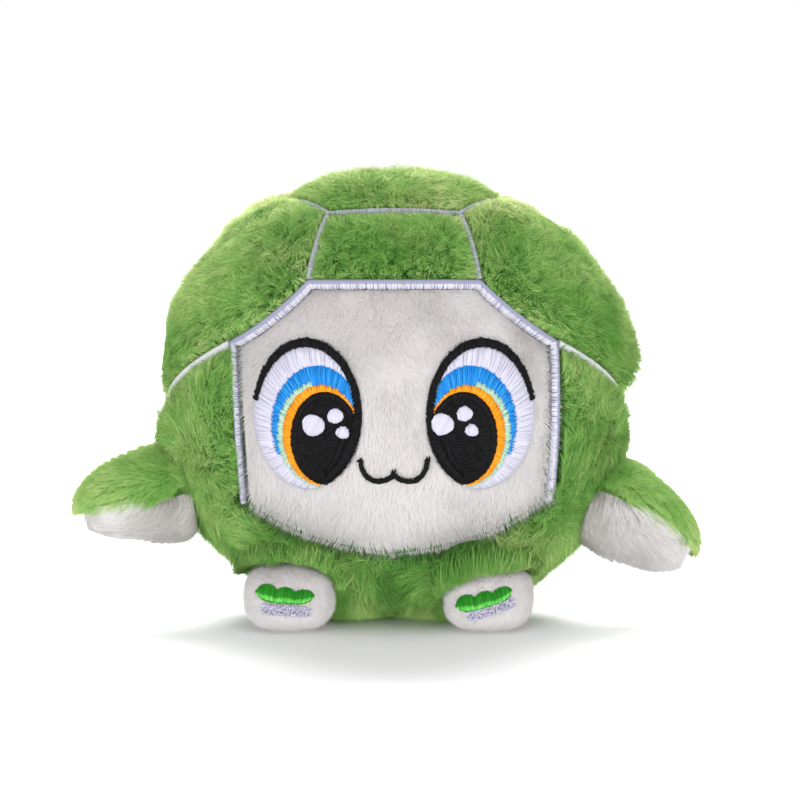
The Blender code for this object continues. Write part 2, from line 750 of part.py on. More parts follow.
def cut(piece, cutter):
    modifier = piece.modifiers.new(cutter.name, "BOOLEAN")
    modifier.operation = "DIFFERENCE"
    modifier.solver = "EXACT"
    modifier.object = cutter


def foot_form(shrink):
    """A foot's form, flat on the floor, drawn in by a shrink all round."""
    mesh = limb_surface()
    for vert in mesh.verts:
        vert.co = FOOT.lift(vert.co, -shrink)
    flatten(mesh, shrink - FOOT_CENTRE_HEIGHT)
    return mesh


def foot_location(sign):
    return Vector((BALL_X + FEET_SHIFT_X + sign * FOOT_X, BALL_Y + FOOT_Y, FOOT_CENTRE_HEIGHT))


def make_foot(side, sign, cutter):
    """White cover, its stuffing, the toe embroidery and the rough patch under it."""
    location = foot_location(sign)
    cover = add_object(f"foot_cover_{side}", foot_form(0.0), "white_plush", location)
    hollow = add_cutter(f"foot_hollow_{side}", foot_form(FOOT_WALL), location)
    cut(cover, hollow)
    cut(cover, cutter)
    stuffing = add_object(f"foot_stuffing_{side}", foot_form(FOOT_WALL + GAP), "stuffing", location)
    cut(stuffing, cutter)
    low = GAP
    high = GAP + FOOT_STITCH_THICKNESS

    def toe_place(along, over):
        """Three lobes above, a straight edge below."""
        x = TOE_STITCH_HALF_WIDTH * (2 * along - 1)
        fade = math.sqrt(max(0.0, 1 - (2 * along - 1) ** 4))
        lobes = abs(math.cos(TOE_LOBES / 2 * math.pi * (2 * along - 1)))
        top = (TOE_STITCH_HEIGHT / 2 - TOE_LOBE_DEPTH * (1 - lobes)) * (fade + 1) / 2
        bottom = -TOE_STITCH_HEIGHT / 2 * (fade + 1) / 2
        return FOOT.front(x, TOE_STITCH_Z + bottom + (top - bottom) * over)

    mesh = strip(TOE_STEPS, 1)
    lay(mesh, FOOT, low, high, toe_place)
    add_object(f"toe_stitch_{side}", mesh, "green_thread", location)

    def sole_place(along, over):
        x = SOLE_STITCH_HALF_WIDTH * (2 * along - 1)
        fade = (math.sqrt(max(0.0, 1 - (2 * along - 1) ** 4)) + 1) / 2
        return FOOT.front(x, SOLE_STITCH_Z + SOLE_STITCH_HEIGHT * (over - 0.5) * fade)

    mesh = strip(TOE_STEPS, 1)
    lay(mesh, FOOT, low, high, sole_place)
    add_object(f"sole_stitch_{side}", mesh, "glitter_thread", location)


def hinge_point(side, sign):
    """The hinge lies just outside the pile of the ball's side."""
    seat = BALL.side(sign, HINGE_Y, HINGE_Z[side])
    return ball_location() + BALL.lift(seat, GREEN_PILE_RISE) + BALL.normal(seat) * HINGE_OUT


def flipper_swell(share):
    """Share of the full section along the paddle: pinched root, full middle, round tip."""
    root = math.sin(math.pi / 2 * min(1.0, share / FLIPPER_WIDEST_SHARE))
    past = max(0.0, share - FLIPPER_WIDEST_SHARE) / (1 - FLIPPER_WIDEST_SHARE)
    return root * math.sqrt(max(0.0, 1 - past ** FLIPPER_TIP_POWER))


def flipper_point(unit, wall):
    """Map a point of the unit sphere to the paddle, drawn in by a wall."""
    start = GAP - HINGE_OUT + wall
    end = FLIPPER_LENGTH - wall
    share = (unit.x + 1) / 2
    swell = flipper_swell(share)
    across = math.hypot(unit.y, unit.z)
    ring = unit / across if across > 0 else CENTRE
    return Vector((
        start + (end - start) * share,
        ring.y * (FLIPPER_HALF_CHORD - wall) * swell,
        ring.z * (FLIPPER_HALF_THICKNESS - wall) * swell))


def make_flipper(side, sign):
    hinge = bpy.data.objects.new(f"flipper_{side}_hinge", None)
    hinge.location = hinge_point(side, sign)
    droop = Matrix.Rotation(sign * FLIPPER_DROOP[side], 4, "Y")
    outward = Matrix.Rotation(0 if sign > 0 else math.pi, 4, "Z")
    roll = Matrix.Rotation(-sign * FLIPPER_ROLL[side], 4, "X")
    hinge.rotation_euler = (droop @ outward @ roll).to_euler()
    PARTS.objects.link(hinge)
    halves = (("top", 1, "green_plush"), ("under", -1, "white_plush"))
    for name, face, material in halves:
        mesh = limb_surface()
        geometry = mesh.verts[:] + mesh.edges[:] + mesh.faces[:]
        bmesh.ops.bisect_plane(
            mesh, geom=geometry, dist=MERGE, plane_co=CENTRE, plane_no=(0, 0, face), clear_inner=True)
        shift = Vector((0, 0, face * GAP / 2))
        thicken(
            mesh, lambda point: flipper_point(point, FLIPPER_WALL) + shift,
            lambda point: flipper_point(point, 0.0) + shift)
        piece = add_object(f"flipper_{name}_{side}", mesh, material)
        piece.parent = hinge
    mesh = limb_surface()
    for vert in mesh.verts:
        vert.co = flipper_point(vert.co, FLIPPER_WALL + GAP)
    piece = add_object(f"flipper_stuffing_{side}", mesh, "stuffing")
    piece.parent = hinge


def make_material(name, colour, roughness, sheen):
    material = bpy.data.materials.new(name)
    material.use_nodes = True
    shader = material.node_tree.nodes["Principled BSDF"]
    shader.inputs["Base Color"].default_value = (*colour, 1)
    shader.inputs["Roughness"].default_value = roughness
    shader.inputs["Sheen Weight"].default_value = sheen
    return material


def clear_scene():
    for old in list(bpy.data.objects):
        bpy.data.objects.remove(old)


def add_collection(name):
    collection = bpy.data.collections.new(name)
    bpy.context.scene.collection.children.link(collection)
    return collection


clear_scene()
PARTS = add_collection("plush_turtle")
CUTTERS = add_collection("cutters")
MATERIALS = {
    "green_plush": make_material("green_plush", (0.14, 0.38, 0.07), 0.9, 0.4),
    "white_plush": make_material("white_plush", (0.78, 0.76, 0.75), 0.9, 0.4),
    "foam": make_material("foam", (0.85, 0.82, 0.66), 0.9, 0.0),
    "stuffing": make_material("stuffing", (0.9, 0.9, 0.88), 0.9, 0.0),
    "seam_thread": make_material("seam_thread", (0.62, 0.6, 0.78), 0.45, 0.0),
    "rim_thread": make_material("rim_thread", (0.86, 0.86, 0.9), 0.5, 0.0),
    "black_thread": make_material("black_thread", (0.006, 0.006, 0.008), 0.45, 0.0),
    "white_thread": make_material("white_thread", (0.85, 0.85, 0.87), 0.45, 0.0),
    "blue_thread": make_material("blue_thread", (0.02, 0.3, 0.82), 0.45, 0.0),
    "mint_thread": make_material("mint_thread", (0.5, 0.78, 0.66), 0.45, 0.0),
    "orange_thread": make_material("orange_thread", (0.9, 0.33, 0.02), 0.45, 0.0),
    "green_thread": make_material("green_thread", (0.03, 0.42, 0.03), 0.45, 0.0),
    "glitter_thread": make_material("glitter_thread", (0.72, 0.7, 0.8), 0.3, 0.0),
}

make_core()
make_face_panel()
for _name, _seams in SCUTES.items():
    make_scute(_name, _seams)
make_bands()
make_mouth()
FOOT_CUTTER = ball_cutter(GAP)
for _side, _sign in SIDES.items():
    make_body_panel(_side, _sign)
    make_eye(_side, _sign)
    make_foot(_side, _sign, FOOT_CUTTER)
    make_flipper(_side, _sign)
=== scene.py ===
"""Looks of the plush turtle: sewn plush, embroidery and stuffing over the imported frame."""
import math

import bmesh
import bpy
import numpy as np
from mathutils import Matrix, Vector


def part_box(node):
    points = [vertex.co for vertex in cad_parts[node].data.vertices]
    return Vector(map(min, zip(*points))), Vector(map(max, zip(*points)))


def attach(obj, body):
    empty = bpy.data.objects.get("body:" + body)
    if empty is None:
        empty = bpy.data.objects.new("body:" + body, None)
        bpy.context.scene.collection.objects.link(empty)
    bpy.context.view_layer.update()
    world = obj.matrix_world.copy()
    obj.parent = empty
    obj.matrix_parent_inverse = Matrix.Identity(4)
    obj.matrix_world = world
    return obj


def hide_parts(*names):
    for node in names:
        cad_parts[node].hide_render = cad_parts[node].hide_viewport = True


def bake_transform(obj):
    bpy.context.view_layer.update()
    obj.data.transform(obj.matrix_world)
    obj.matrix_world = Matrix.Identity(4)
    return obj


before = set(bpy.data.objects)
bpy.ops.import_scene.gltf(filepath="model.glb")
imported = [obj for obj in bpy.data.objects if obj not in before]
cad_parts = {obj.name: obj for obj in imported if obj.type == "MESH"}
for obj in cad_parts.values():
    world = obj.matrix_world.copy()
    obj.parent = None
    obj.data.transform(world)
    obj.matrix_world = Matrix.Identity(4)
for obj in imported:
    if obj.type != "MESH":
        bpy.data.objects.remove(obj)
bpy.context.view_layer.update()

MM = 0.001
SIDES = {"left": -1, "right": 1}
DOWN = np.array((0.0, 0.0, -1.0))

# The ball and its layers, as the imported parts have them
PANEL_DEPTH = 5.5 * MM
GAP = 0.3 * MM
CORE_LOW, CORE_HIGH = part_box("foam_core")
BALL_CENTRE = np.array((CORE_LOW + CORE_HIGH) / 2)
BALL_HALF = np.array((CORE_HIGH - CORE_LOW) / 2) + PANEL_DEPTH + GAP
GREEN_PILE_RISE = 2.9 * MM
SCUTE_RISES = {
    "scute_top": 2.0 * MM,
    "scute_front": 2.3 * MM,
    "scute_rear": 2.5 * MM,
    "scute_front_left": 3.3 * MM,
    "scute_front_right": 4.4 * MM,
    "scute_rear_left": 3.0 * MM,
    "scute_rear_right": 2.8 * MM,
}
PUFF_REACH = 6.0 * MM
PANEL_SEAM_REACH = 2.5 * MM
BELLY_CREASE_SHARE = 0.7
BELLY_TOP_Z = -28.0 * MM
BELLY_LOW_Z = -35.0 * MM
CHIN_REACH = 9.0 * MM
CHIN_SHIFT = 3.6 * MM
RIM_SHIFT = -0.45 * MM
CHIN_LEAN = 0.2
CHIN_FRINGE_REACH = 2.2 * MM
CHIN_FRINGE_RISE = 1.7 * MM
FLOOR_CLEAR = 0.1 * MM

# Corners of the sewing pattern, from the ball's centre
HEX_EDGE_HALF = 12.2 * MM
HEX_SIDE_REACH = 20.5 * MM
HEX_FRONT_REACH = 18.4 * MM
HEX_REAR_REACH = 17.0 * MM
HEX_SIDE_Y = -1.0 * MM
HEX_FRONT_MIDDLE_REACH = 20.6 * MM
FACE_TOP = (15.8 * MM, 22.0 * MM)
FACE_TOP_MIDDLE_Z = 22.2 * MM
FACE_BROW = (23.4 * MM, 16.5 * MM)
FACE_CHEEK = (30.0 * MM, 10.7 * MM)
FACE_SIDE = (29.6 * MM, -5.5 * MM)
FACE_JAW = (28.8 * MM, -19.2 * MM)
FACE_CHIN_Z = -28.6 * MM
RIM_SIDE_Y = 4.0 * MM
RIM_LEVEL_Z = -3.5 * MM
RIM_REAR_X = 20.0 * MM

# Eyes: ellipses about each pupil's centre; a shift is towards the cheek and up
PUPIL_X = 12.95 * MM
PUPIL_Z = -6.67 * MM
PUPIL_ELLIPSE = (0.0, 0.0, 6.55 * MM, 8.87 * MM)
ORANGE_ELLIPSE = (-0.77 * MM, 0.55 * MM, 7.2 * MM, 9.4 * MM)
MINT_ELLIPSE = (-1.0 * MM, 0.9 * MM, 8.0 * MM, 9.83 * MM)
BLUE_ELLIPSE = (-1.45 * MM, 2.47 * MM, 8.55 * MM, 11.3 * MM)
EYE_ELLIPSE = (-3.55 * MM, 4.5 * MM, 10.25 * MM, 14.4 * MM)
OUTLINE_ANGLES = np.radians((-88, 0, 60, 100, 130, 152))
OUTLINE_WIDTHS = np.array((1.9, 2.0, 1.85, 1.65, 1.2, 0.75)) * MM
OUTLINE_RANGE = np.radians((-88, 152))
ORANGE_RANGE = np.radians((43, 264))
MINT_RANGE = np.radians((104, 262))
BLUE_RANGE = np.radians((42, 200))
WHITE_RANGE = np.radians((60, 258))
# Each glint: its place from the pupil's centre, its radius, and its stitches' slant in degrees
GLINTS = (
    ("large", -2.12 * MM, 2.57 * MM, 2.1 * MM, 62),
    ("upper", 2.03 * MM, 4.42 * MM, 1.45 * MM, 100),
    ("small", 3.38 * MM, 1.32 * MM, 1.2 * MM, 75),
)
GLINT_SHIFTS = {"left": (0.0, 0.0), "right": (-1.85 * MM, 0.35 * MM)}

# Mouth
MOUTH_HALF_WIDTH = 6.3 * MM
MOUTH_CORNER_Z = -10.9 * MM
MOUTH_LOW_Z = -14.9 * MM
MOUTH_PEAK_Z = -13.1 * MM
MOUTH_THREAD_RADIUS = 0.45 * MM
MOUTH_OVERRUN = (0.35 * MM, 0.15 * MM)
MOUTH_TURN_STEP = 0.4 * MM
MOUTH_HALF_STITCH = 0.95 * MM
MOUTH_RISE = -1.35 * MM
MOUTH_SINK = 0.6 * MM
MOUTH_SLANT = (0.35, 0.5)

# Feet
FOOT_X = 18.4 * MM
FEET_SHIFT_X = -1.0 * MM
FOOT_Y = -24.6 * MM
FOOT_HALF = np.array((8.6, 12.0, 6.6)) * MM
FOOT_CENTRE_HEIGHT = 6.1 * MM
TOE_TILT = {"left": math.radians(-4.0), "right": math.radians(17.0)}
TOE_CENTRE = {"left": (-0.6 * MM, 1.4 * MM), "right": (-0.9 * MM, 0.6 * MM)}
TOE_HALF_WIDTH = 5.2 * MM
TOE_LOW = -1.65 * MM
TOE_LOBE_TOPS = ((-0.65, 0.35, 1.6 * MM), (0.0, 0.36, 1.3 * MM), (0.65, 0.35, 1.05 * MM))
SOLE_CENTRE = {"left": (-0.4 * MM, -1.7 * MM), "right": (0.4 * MM, -1.5 * MM)}
SOLE_HALF_WIDTH = 5.0 * MM
SOLE_HEIGHT = 2.1 * MM

# Flippers
HINGE_OUT = 3.0 * MM
HINGE_Y = -6.0 * MM
HINGE_Z = {"left": -16.8 * MM, "right": -18.6 * MM}
FLIPPER_LENGTH = 17.4 * MM
FLIPPER_HALF_CHORD = 10.5 * MM
FLIPPER_HALF_THICKNESS = 7.8 * MM
FLIPPER_WALL = 3.2 * MM
FLIPPER_WIDEST_SHARE = 0.38
FLIPPER_TIP_POWER = 1.9
FLIPPER_DROOP = {"left": math.radians(8.0), "right": math.radians(25.0)}
FLIPPER_ROLL = {"left": math.radians(0.0), "right": math.radians(12.0)}

# Pile: how deep the cloth lies, and the strands' length and width
PILE_DEPTH = 3.0 * MM
CLOTH_EDGE_RISE = -1.2 * MM
PILE_LENGTH = 4.9 * MM
PILE_WIDTH = 0.125 * MM
PILE_OVER_BAND = 1.0 * MM
FACE_CLOTH_RISE = -2.6 * MM
FACE_PILE_RISE = -1.45 * MM
FACE_EDGE_RISE = 1.15 * MM
FACE_SIDE_RISE = 0.8 * MM
FACE_SIDE_REACH = 0.8 * MM
FACE_EDGE_REACH = 2.2 * MM
FACE_PILE_LENGTH = 2.0 * MM
FACE_PILE_WIDTH = 0.11 * MM
# Face pile: painted light growing towards the lower face, and painted shade just above the chin
FACE_LIGHT_TOP_Z = 10.0 * MM
FACE_LIGHT_REACH = 28.0 * MM
FACE_CHIN_SHADE_Z = -23.0 * MM
CLUMPS_PER_MM2 = 2.1
STRANDS_PER_CLUMP = 9
MOST_STRANDS = 21000
CLUMP_SPREAD = 0.42 * MM
CLUMP_GATHER = (0.15, 0.65)
CLOTH_LEAST_RISE = -0.7 * MM
LOCK_CELL = 1.3 * MM
LOCK_SHARE = 0.5
TONE_LIMITS = (0.01, 0.99)
GREEN_WIDTHS = (0.75, 1.25)
WHITE_WIDTHS = (0.8, 1.3)
FLIPPER_WIDTHS = (0.8, 1.25)
PRESSED_TIP = 0.85
PRESSED_MID = 0.35

# Thread
THREAD_PITCH = 0.22 * MM
THREAD_RADIUS = 0.15 * MM
FINE_PITCH = 0.155 * MM
FINE_RADIUS = 0.115 * MM
TOE_PITCH = 0.22 * MM
TOE_RADIUS = 0.145 * MM
SOLE_RADIUS = 0.1 * MM
MOUTH_RADIUS = 0.2 * MM
MOUTH_PITCH = 0.24 * MM


def unit(vectors):
    return vectors / np.maximum(np.linalg.norm(vectors, axis=-1, keepdims=True), 1e-12)


def dot(a, b):
    return np.sum(a * b, axis=-1)


def column(values):
    return np.asarray(values)[..., None]


def fade(distance, reach):
    """1 at no distance, falling evenly to 0 at the reach."""
    return np.clip(1 - distance / reach, 0, 1)


def below(points, level, reach):
    """0 above a level, rising evenly to 1 at the reach under it."""
    return np.clip((level - points[:, 2]) / reach, 0, 1)


class Noise:
    """Smooth noise from -1 to 1 on a lattice of cells, the same on each run."""

    SIZE = 16

    def __init__(self, cell, seed):
        self.cell = cell
        self.table = np.random.default_rng(seed).uniform(-1, 1, (self.SIZE,) * 3)

    def __call__(self, points):
        place = points / self.cell
        base = np.floor(place).astype(int)
        part = place - base
        part = part * part * (3 - 2 * part)
        total = np.zeros(len(points))
        for corner in np.ndindex(2, 2, 2):
            weight = np.prod(np.where(corner, part, 1 - part), axis=-1)
            i, j, k = ((base + corner) % self.SIZE).T
            total += weight * self.table[i, j, k]
        return total


class Ellipsoid:
    """A surface with three half sizes about its own centre, and its offset layers."""

    def __init__(self, half):
        self.half = np.asarray(half, float)

    def lift(self, points, rise=0.0):
        layer = self.half + column(rise)
        return points / column(np.linalg.norm(points / layer, axis=-1))

    def rise(self, points):
        return np.linalg.norm(points, axis=-1) - np.linalg.norm(self.lift(points), axis=-1)

    def normal(self, points):
        return unit(points / self.half ** 2)

    def front(self, x, z):
        x, z = np.broadcast_arrays(np.asarray(x, float), np.asarray(z, float))
        rest = np.sqrt(np.maximum(0.0, 1 - (x / self.half[0]) ** 2 - (z / self.half[2]) ** 2))
        return np.stack((x, -self.half[1] * rest, z), axis=-1)

    def back(self, x, z):
        return self.front(x, z) * (1, -1, 1)

    def top(self, x, y):
        rest = math.sqrt(1 - (x / self.half[0]) ** 2 - (y / self.half[1]) ** 2)
        return np.array((x, y, self.half[2] * rest))

    def side(self, sign, y, z):
        rest = math.sqrt(1 - (y / self.half[1]) ** 2 - (z / self.half[2]) ** 2)
        return np.array((sign * self.half[0] * rest, y, z))

    def from_point(self, start, towards):
        """Points where the rays from start through towards leave the surface."""
        run = towards - start
        a = dot(run / self.half, run / self.half)
        b = dot(start / self.half, run / self.half)
        c = dot(start / self.half, start / self.half) - 1
        return start + run * column((-b + np.sqrt(b * b - a * c)) / a)


class SoftBox(Ellipsoid):
    """A fuller form than an ellipsoid: its sections are rounded squares."""

    POWER = 2.7

    def lift(self, points, rise=0.0):
        layer = self.half + column(rise)
        return points / column(np.sum(np.abs(points / layer) ** self.POWER, axis=-1) ** (1 / self.POWER))

    def normal(self, points):
        return unit(np.sign(points) * np.abs(points / self.half) ** (self.POWER - 1) / self.half)

    def front(self, x, z):
        x, z = np.broadcast_arrays(np.asarray(x, float), np.asarray(z, float))
        rest = 1 - np.abs(x / self.half[0]) ** self.POWER - np.abs(z / self.half[2]) ** self.POWER
        return np.stack((x, -self.half[1] * np.maximum(0.0, rest) ** (1 / self.POWER), z), axis=-1)


BALL = Ellipsoid(BALL_HALF)
FOOT = SoftBox(FOOT_HALF)
ORIGIN = np.zeros(3)


class Seam:
    """The plane of a seam between two corners, through a third point; a bow pulls its stitches aside."""

    def __init__(self, start, end, through=ORIGIN, normal=None, offset=0.0, bow=(0.0, 0.0, 0.0)):
        self.start = start
        self.end = end
        self.bow = np.asarray(bow)
        self.normal = unit(np.cross(start - through, end - through)) if normal is None else normal
        self.offset = dot(self.normal, through) if normal is None else offset

    def distance(self, points, seen=False):
        """Distance from the plane, or as seen from the stitches, which the bow moves off it."""
        away = points @ self.normal - self.offset
        if not seen:
            return away
        run = self.end - self.start
        return away - self.shift(np.clip(dot(points - self.start, run) / dot(run, run), 0, 1))

    def shift(self, shares):
        """How far the bow moves the stitches, from its values at the start, middle and end."""
        parts = ((1 - shares) ** 2, 4 * shares * (1 - shares), shares ** 2)
        return sum(amount * part for amount, part in zip(self.bow, parts))

    def facing(self, point, away=False):
        sign = 1 if (self.distance(point) > 0) != away else -1
        return Seam(
            self.start, self.end, normal=self.normal * sign, offset=self.offset * sign, bow=self.bow * sign)

    def reverse(self):
        return Seam(self.end, self.start, normal=self.normal, offset=self.offset, bow=self.bow[::-1])

    def path(self, shares):
        line = self.start + column(shares) * (self.end - self.start)
        found = BALL.from_point(self.normal * self.offset, line)
        return BALL.lift(found + self.normal * column(self.shift(shares)))


# Each bow: the point it pulls the stitches towards, and how far in mm at the start, middle and end
SEAM_BOWS = (
    ("face_brow_left", BALL.front(0, 0), (0.0, 1.55, 0.0)),
    ("face_brow_right", BALL.front(0, 0), (0.0, 1.2, 0.0)),
    ("face_side_left", BALL.front(0, 0), (1.0, 0.5, 0.0)),
    ("face_side_right", BALL.side(1, 0, 0), (0.9, 0.8, 0.0)),
    ("rim_fore_left", BALL.front(0, -30 * MM), (0.0, 0.9, 0.0)),
    ("rim_fore_right", BALL.front(0, -30 * MM), (0.0, 0.9, 0.0)),
)


def make_pattern():
    """Every corner and seam of the sewing pattern."""
    at = {
        "chin": BALL.front(0, FACE_CHIN_Z), "top_middle": BALL.front(0, FACE_TOP_MIDDLE_Z),
        "hex_front_middle": BALL.top(0, -HEX_FRONT_MIDDLE_REACH)}
    for side, sign in SIDES.items():
        at[f"hex_front_{side}"] = BALL.top(sign * HEX_EDGE_HALF, -HEX_FRONT_REACH)
        at[f"hex_side_{side}"] = BALL.top(sign * HEX_SIDE_REACH, HEX_SIDE_Y)
        at[f"hex_rear_{side}"] = BALL.top(sign * HEX_EDGE_HALF, HEX_REAR_REACH)
        corners = (("top", FACE_TOP), ("brow", FACE_BROW), ("cheek", FACE_CHEEK), ("middle", FACE_SIDE),
                   ("jaw", FACE_JAW))
        for name, (x, z) in corners:
            at[f"{name}_{side}"] = BALL.front(sign * x, z)
        at[f"rim_side_{side}"] = BALL.side(sign, RIM_SIDE_Y, RIM_LEVEL_Z)
        at[f"rim_rear_{side}"] = BALL.back(sign * RIM_REAR_X, RIM_LEVEL_Z)
    seam = {
        "hex_front": Seam(at["hex_front_left"], at["hex_front_right"], at["hex_front_middle"]),
        "hex_rear": Seam(at["hex_rear_right"], at["hex_rear_left"]),
        "face_top": Seam(at["top_left"], at["top_right"], at["top_middle"]),
        "face_chin": Seam(at["jaw_right"], at["jaw_left"], at["chin"]),
        "rim_rear": Seam(at["rim_rear_right"], at["rim_rear_left"], at["rim_side_left"]),
    }
    for side in SIDES:
        runs = (
            ("hex_fore", "hex_side", "hex_front", None), ("hex_aft", "hex_rear", "hex_side", None),
            ("fore", "hex_front", "top", None), ("side", "hex_side", "rim_side", None),
            ("aft", "hex_rear", "rim_rear", None), ("face_brow", "cheek", "top", "brow"),
            ("face_side", "jaw", "cheek", "middle"), ("rim_fore", "cheek", "rim_side", None))
        for name, start, end, through in runs:
            third = at[f"{through}_{side}"] if through else ORIGIN
            seam[f"{name}_{side}"] = Seam(at[f"{start}_{side}"], at[f"{end}_{side}"], third)
        across = at["rim_side_right" if side == "left" else "rim_side_left"]
        seam[f"rim_aft_{side}"] = Seam(at[f"rim_side_{side}"], at[f"rim_rear_{side}"], across)
    for name, towards, bow in SEAM_BOWS:
        seam[name].bow = np.array(bow) * MM * np.sign(seam[name].distance(towards))
    return seam


SEAM = make_pattern()
FACE_POINT = BALL.front(0, 0)
TOP_POINT = BALL.top(0, 0)
FACE_SEAMS = ["face_top", "face_chin"] + [f"face_{n}_{s}" for s in SIDES for n in ("brow", "side")]
SCUTES = {
    "scute_top": ["hex_front", "hex_rear"] + [f"hex_{n}_{s}" for s in SIDES for n in ("fore", "aft")],
    "scute_front": ["hex_front", "fore_left", "fore_right", "face_top"],
    "scute_rear": ["hex_rear", "aft_left", "aft_right", "rim_rear"],
}
for _side in SIDES:
    SCUTES[f"scute_front_{_side}"] = [
        f"{n}_{_side}" for n in ("hex_fore", "fore", "side", "face_brow", "rim_fore")]
    SCUTES[f"scute_rear_{_side}"] = [f"{n}_{_side}" for n in ("hex_aft", "side", "aft", "rim_aft")]


def puff(distance, valley):
    share = np.clip((distance - valley) / PUFF_REACH, 0.0, 1.0)
    return 1 - (1 - share) ** 2


# Materials

class NodeTree:
    """Short calls for the nodes of a tree."""

    def __init__(self, tree):
        self.tree = tree

    def node(self, kind, inputs=(), **settings):
        made = self.tree.nodes.new(kind)
        for key, value in settings.items():
            setattr(made, key, value)
        for socket, value in dict(inputs).items():
            if isinstance(value, bpy.types.NodeSocket):
                self.tree.links.new(value, made.inputs[socket])
            else:
                made.inputs[socket].default_value = value
        return made

    def ramp(self, factor, stops):
        made = self.node("ShaderNodeValToRGB", {"Fac": factor})
        elements = made.color_ramp.elements
        while len(elements) < len(stops):
            elements.new(0.5)
        for element, (place, colour) in zip(elements, stops):
            element.position = place
            element.color = (*colour, 1)
        return made.outputs["Color"]

    def mix(self, factor, first, second, blend="MIX"):
        inputs = {0: factor, 6: first, 7: second}
        return self.node("ShaderNodeMix", inputs, data_type="RGBA", blend_type=blend).outputs[2]


class Principled(NodeTree):
    """A new Principled material."""

    def __init__(self, name, **sockets):
        self.material = bpy.data.materials.new(name)
        self.material.use_nodes = True
        super().__init__(self.material.node_tree)
        self.shader = self.tree.nodes["Principled BSDF"]
        for socket, value in sockets.items():
            self.shader.inputs[socket.replace("_", " ")].default_value = value

    def link(self, output, socket):
        self.tree.links.new(output, self.shader.inputs[socket])

    def bump(self, height, strength, distance):
        made = self.node("ShaderNodeBump", {"Height": height, "Strength": strength, "Distance": distance})
        self.link(made.outputs["Normal"], "Normal")

    def place(self):
        return self.node("ShaderNodeTexCoord").outputs["Object"]

    def tone_ramp(self, factor, colours):
        """A ramp with 8-bit colours at even steps."""
        return self.ramp(factor, [(k / (len(colours) - 1), srgb(c)) for k, c in enumerate(colours)])

    def tone_coordinates(self):
        """Each strand's or stitch's own tone, and the place along it."""
        uv = self.node("ShaderNodeUVMap", uv_map="OFBake").outputs["UV"]
        split = self.node("ShaderNodeSeparateXYZ", {"Vector": uv})
        return split.outputs["X"], split.outputs["Y"]


def srgb(colour):
    """Linear colour of an 8-bit one."""
    shares = [value / 255 for value in colour]
    return tuple(c / 12.92 if c <= 0.04045 else ((c + 0.055) / 1.055) ** 2.4 for c in shares)


def grey(value):
    return (value,) * 3


def pile_material(name, roots, tips, roughness, sheen, sheen_tint):
    """Strands: painted shade at the root and painted light at the tip, each with its own tone."""
    nodes = Principled(
        name, Roughness=roughness, Sheen_Weight=sheen, Sheen_Roughness=0.4, Sheen_Tint=(*srgb(sheen_tint), 1),
        Specular_IOR_Level=0.25)
    tone, along = nodes.tone_coordinates()
    root, tip = nodes.tone_ramp(tone, roots), nodes.tone_ramp(tone, tips)
    # the ramp along each strand paints shade deep in the pile and light towards the tip
    rise = nodes.ramp(along, [(0.05, grey(0)), (0.5, grey(0.45)), (0.95, grey(1))])
    nodes.link(nodes.mix(rise, root, tip), "Base Color")
    return nodes.material


def thread_material(name, tones, roughness, sheen, shine, painted_shade=None):
    """Embroidery thread: each stitch has its own tone, and painted shade runs along it."""
    nodes = Principled(
        name, Roughness=roughness, Sheen_Weight=sheen, Sheen_Roughness=0.3, Specular_IOR_Level=shine)
    tone, along = nodes.tone_coordinates()
    colour = nodes.tone_ramp(tone, tones)
    if painted_shade:
        colour = nodes.mix(1.0, colour, nodes.ramp(along, painted_shade), "MULTIPLY")
    nodes.link(colour, "Base Color")
    return nodes.material


def cloth_material(name, dark, light):
    """Knitted backing under the pile."""
    nodes = Principled(name, Roughness=0.9, Sheen_Weight=0.3, Sheen_Roughness=0.5, Specular_IOR_Level=0.2)
    place = nodes.place()
    patches = nodes.node("ShaderNodeTexNoise", {"Vector": place, "Scale": 160.0, "Detail": 3.0})
    knit = nodes.node("ShaderNodeTexVoronoi", {"Vector": place, "Scale": 1400.0})
    mixed = nodes.mix(0.4, patches.outputs["Color"], knit.outputs["Color"])
    nodes.link(nodes.ramp(mixed, [(0.3, srgb(dark)), (0.7, srgb(light))]), "Base Color")
    nodes.bump(knit.outputs["Distance"], 0.4, 0.0002)
    return nodes.material


def porous_material(name, dark, light, scale):
    """Foam or loose fibre filling."""
    nodes = Principled(name, Roughness=0.95, Specular_IOR_Level=0.2)
    place = nodes.place()
    cells = nodes.node("ShaderNodeTexVoronoi", {"Vector": place, "Scale": scale})
    clouds = nodes.node("ShaderNodeTexNoise", {"Vector": place, "Scale": scale / 4, "Detail": 4.0})
    mixed = nodes.mix(0.5, cells.outputs["Distance"], clouds.outputs["Fac"])
    nodes.link(nodes.ramp(mixed, [(0.15, srgb(dark)), (0.6, srgb(light))]), "Base Color")
    nodes.bump(cells.outputs["Distance"], 0.6, 0.0004)
    return nodes.material
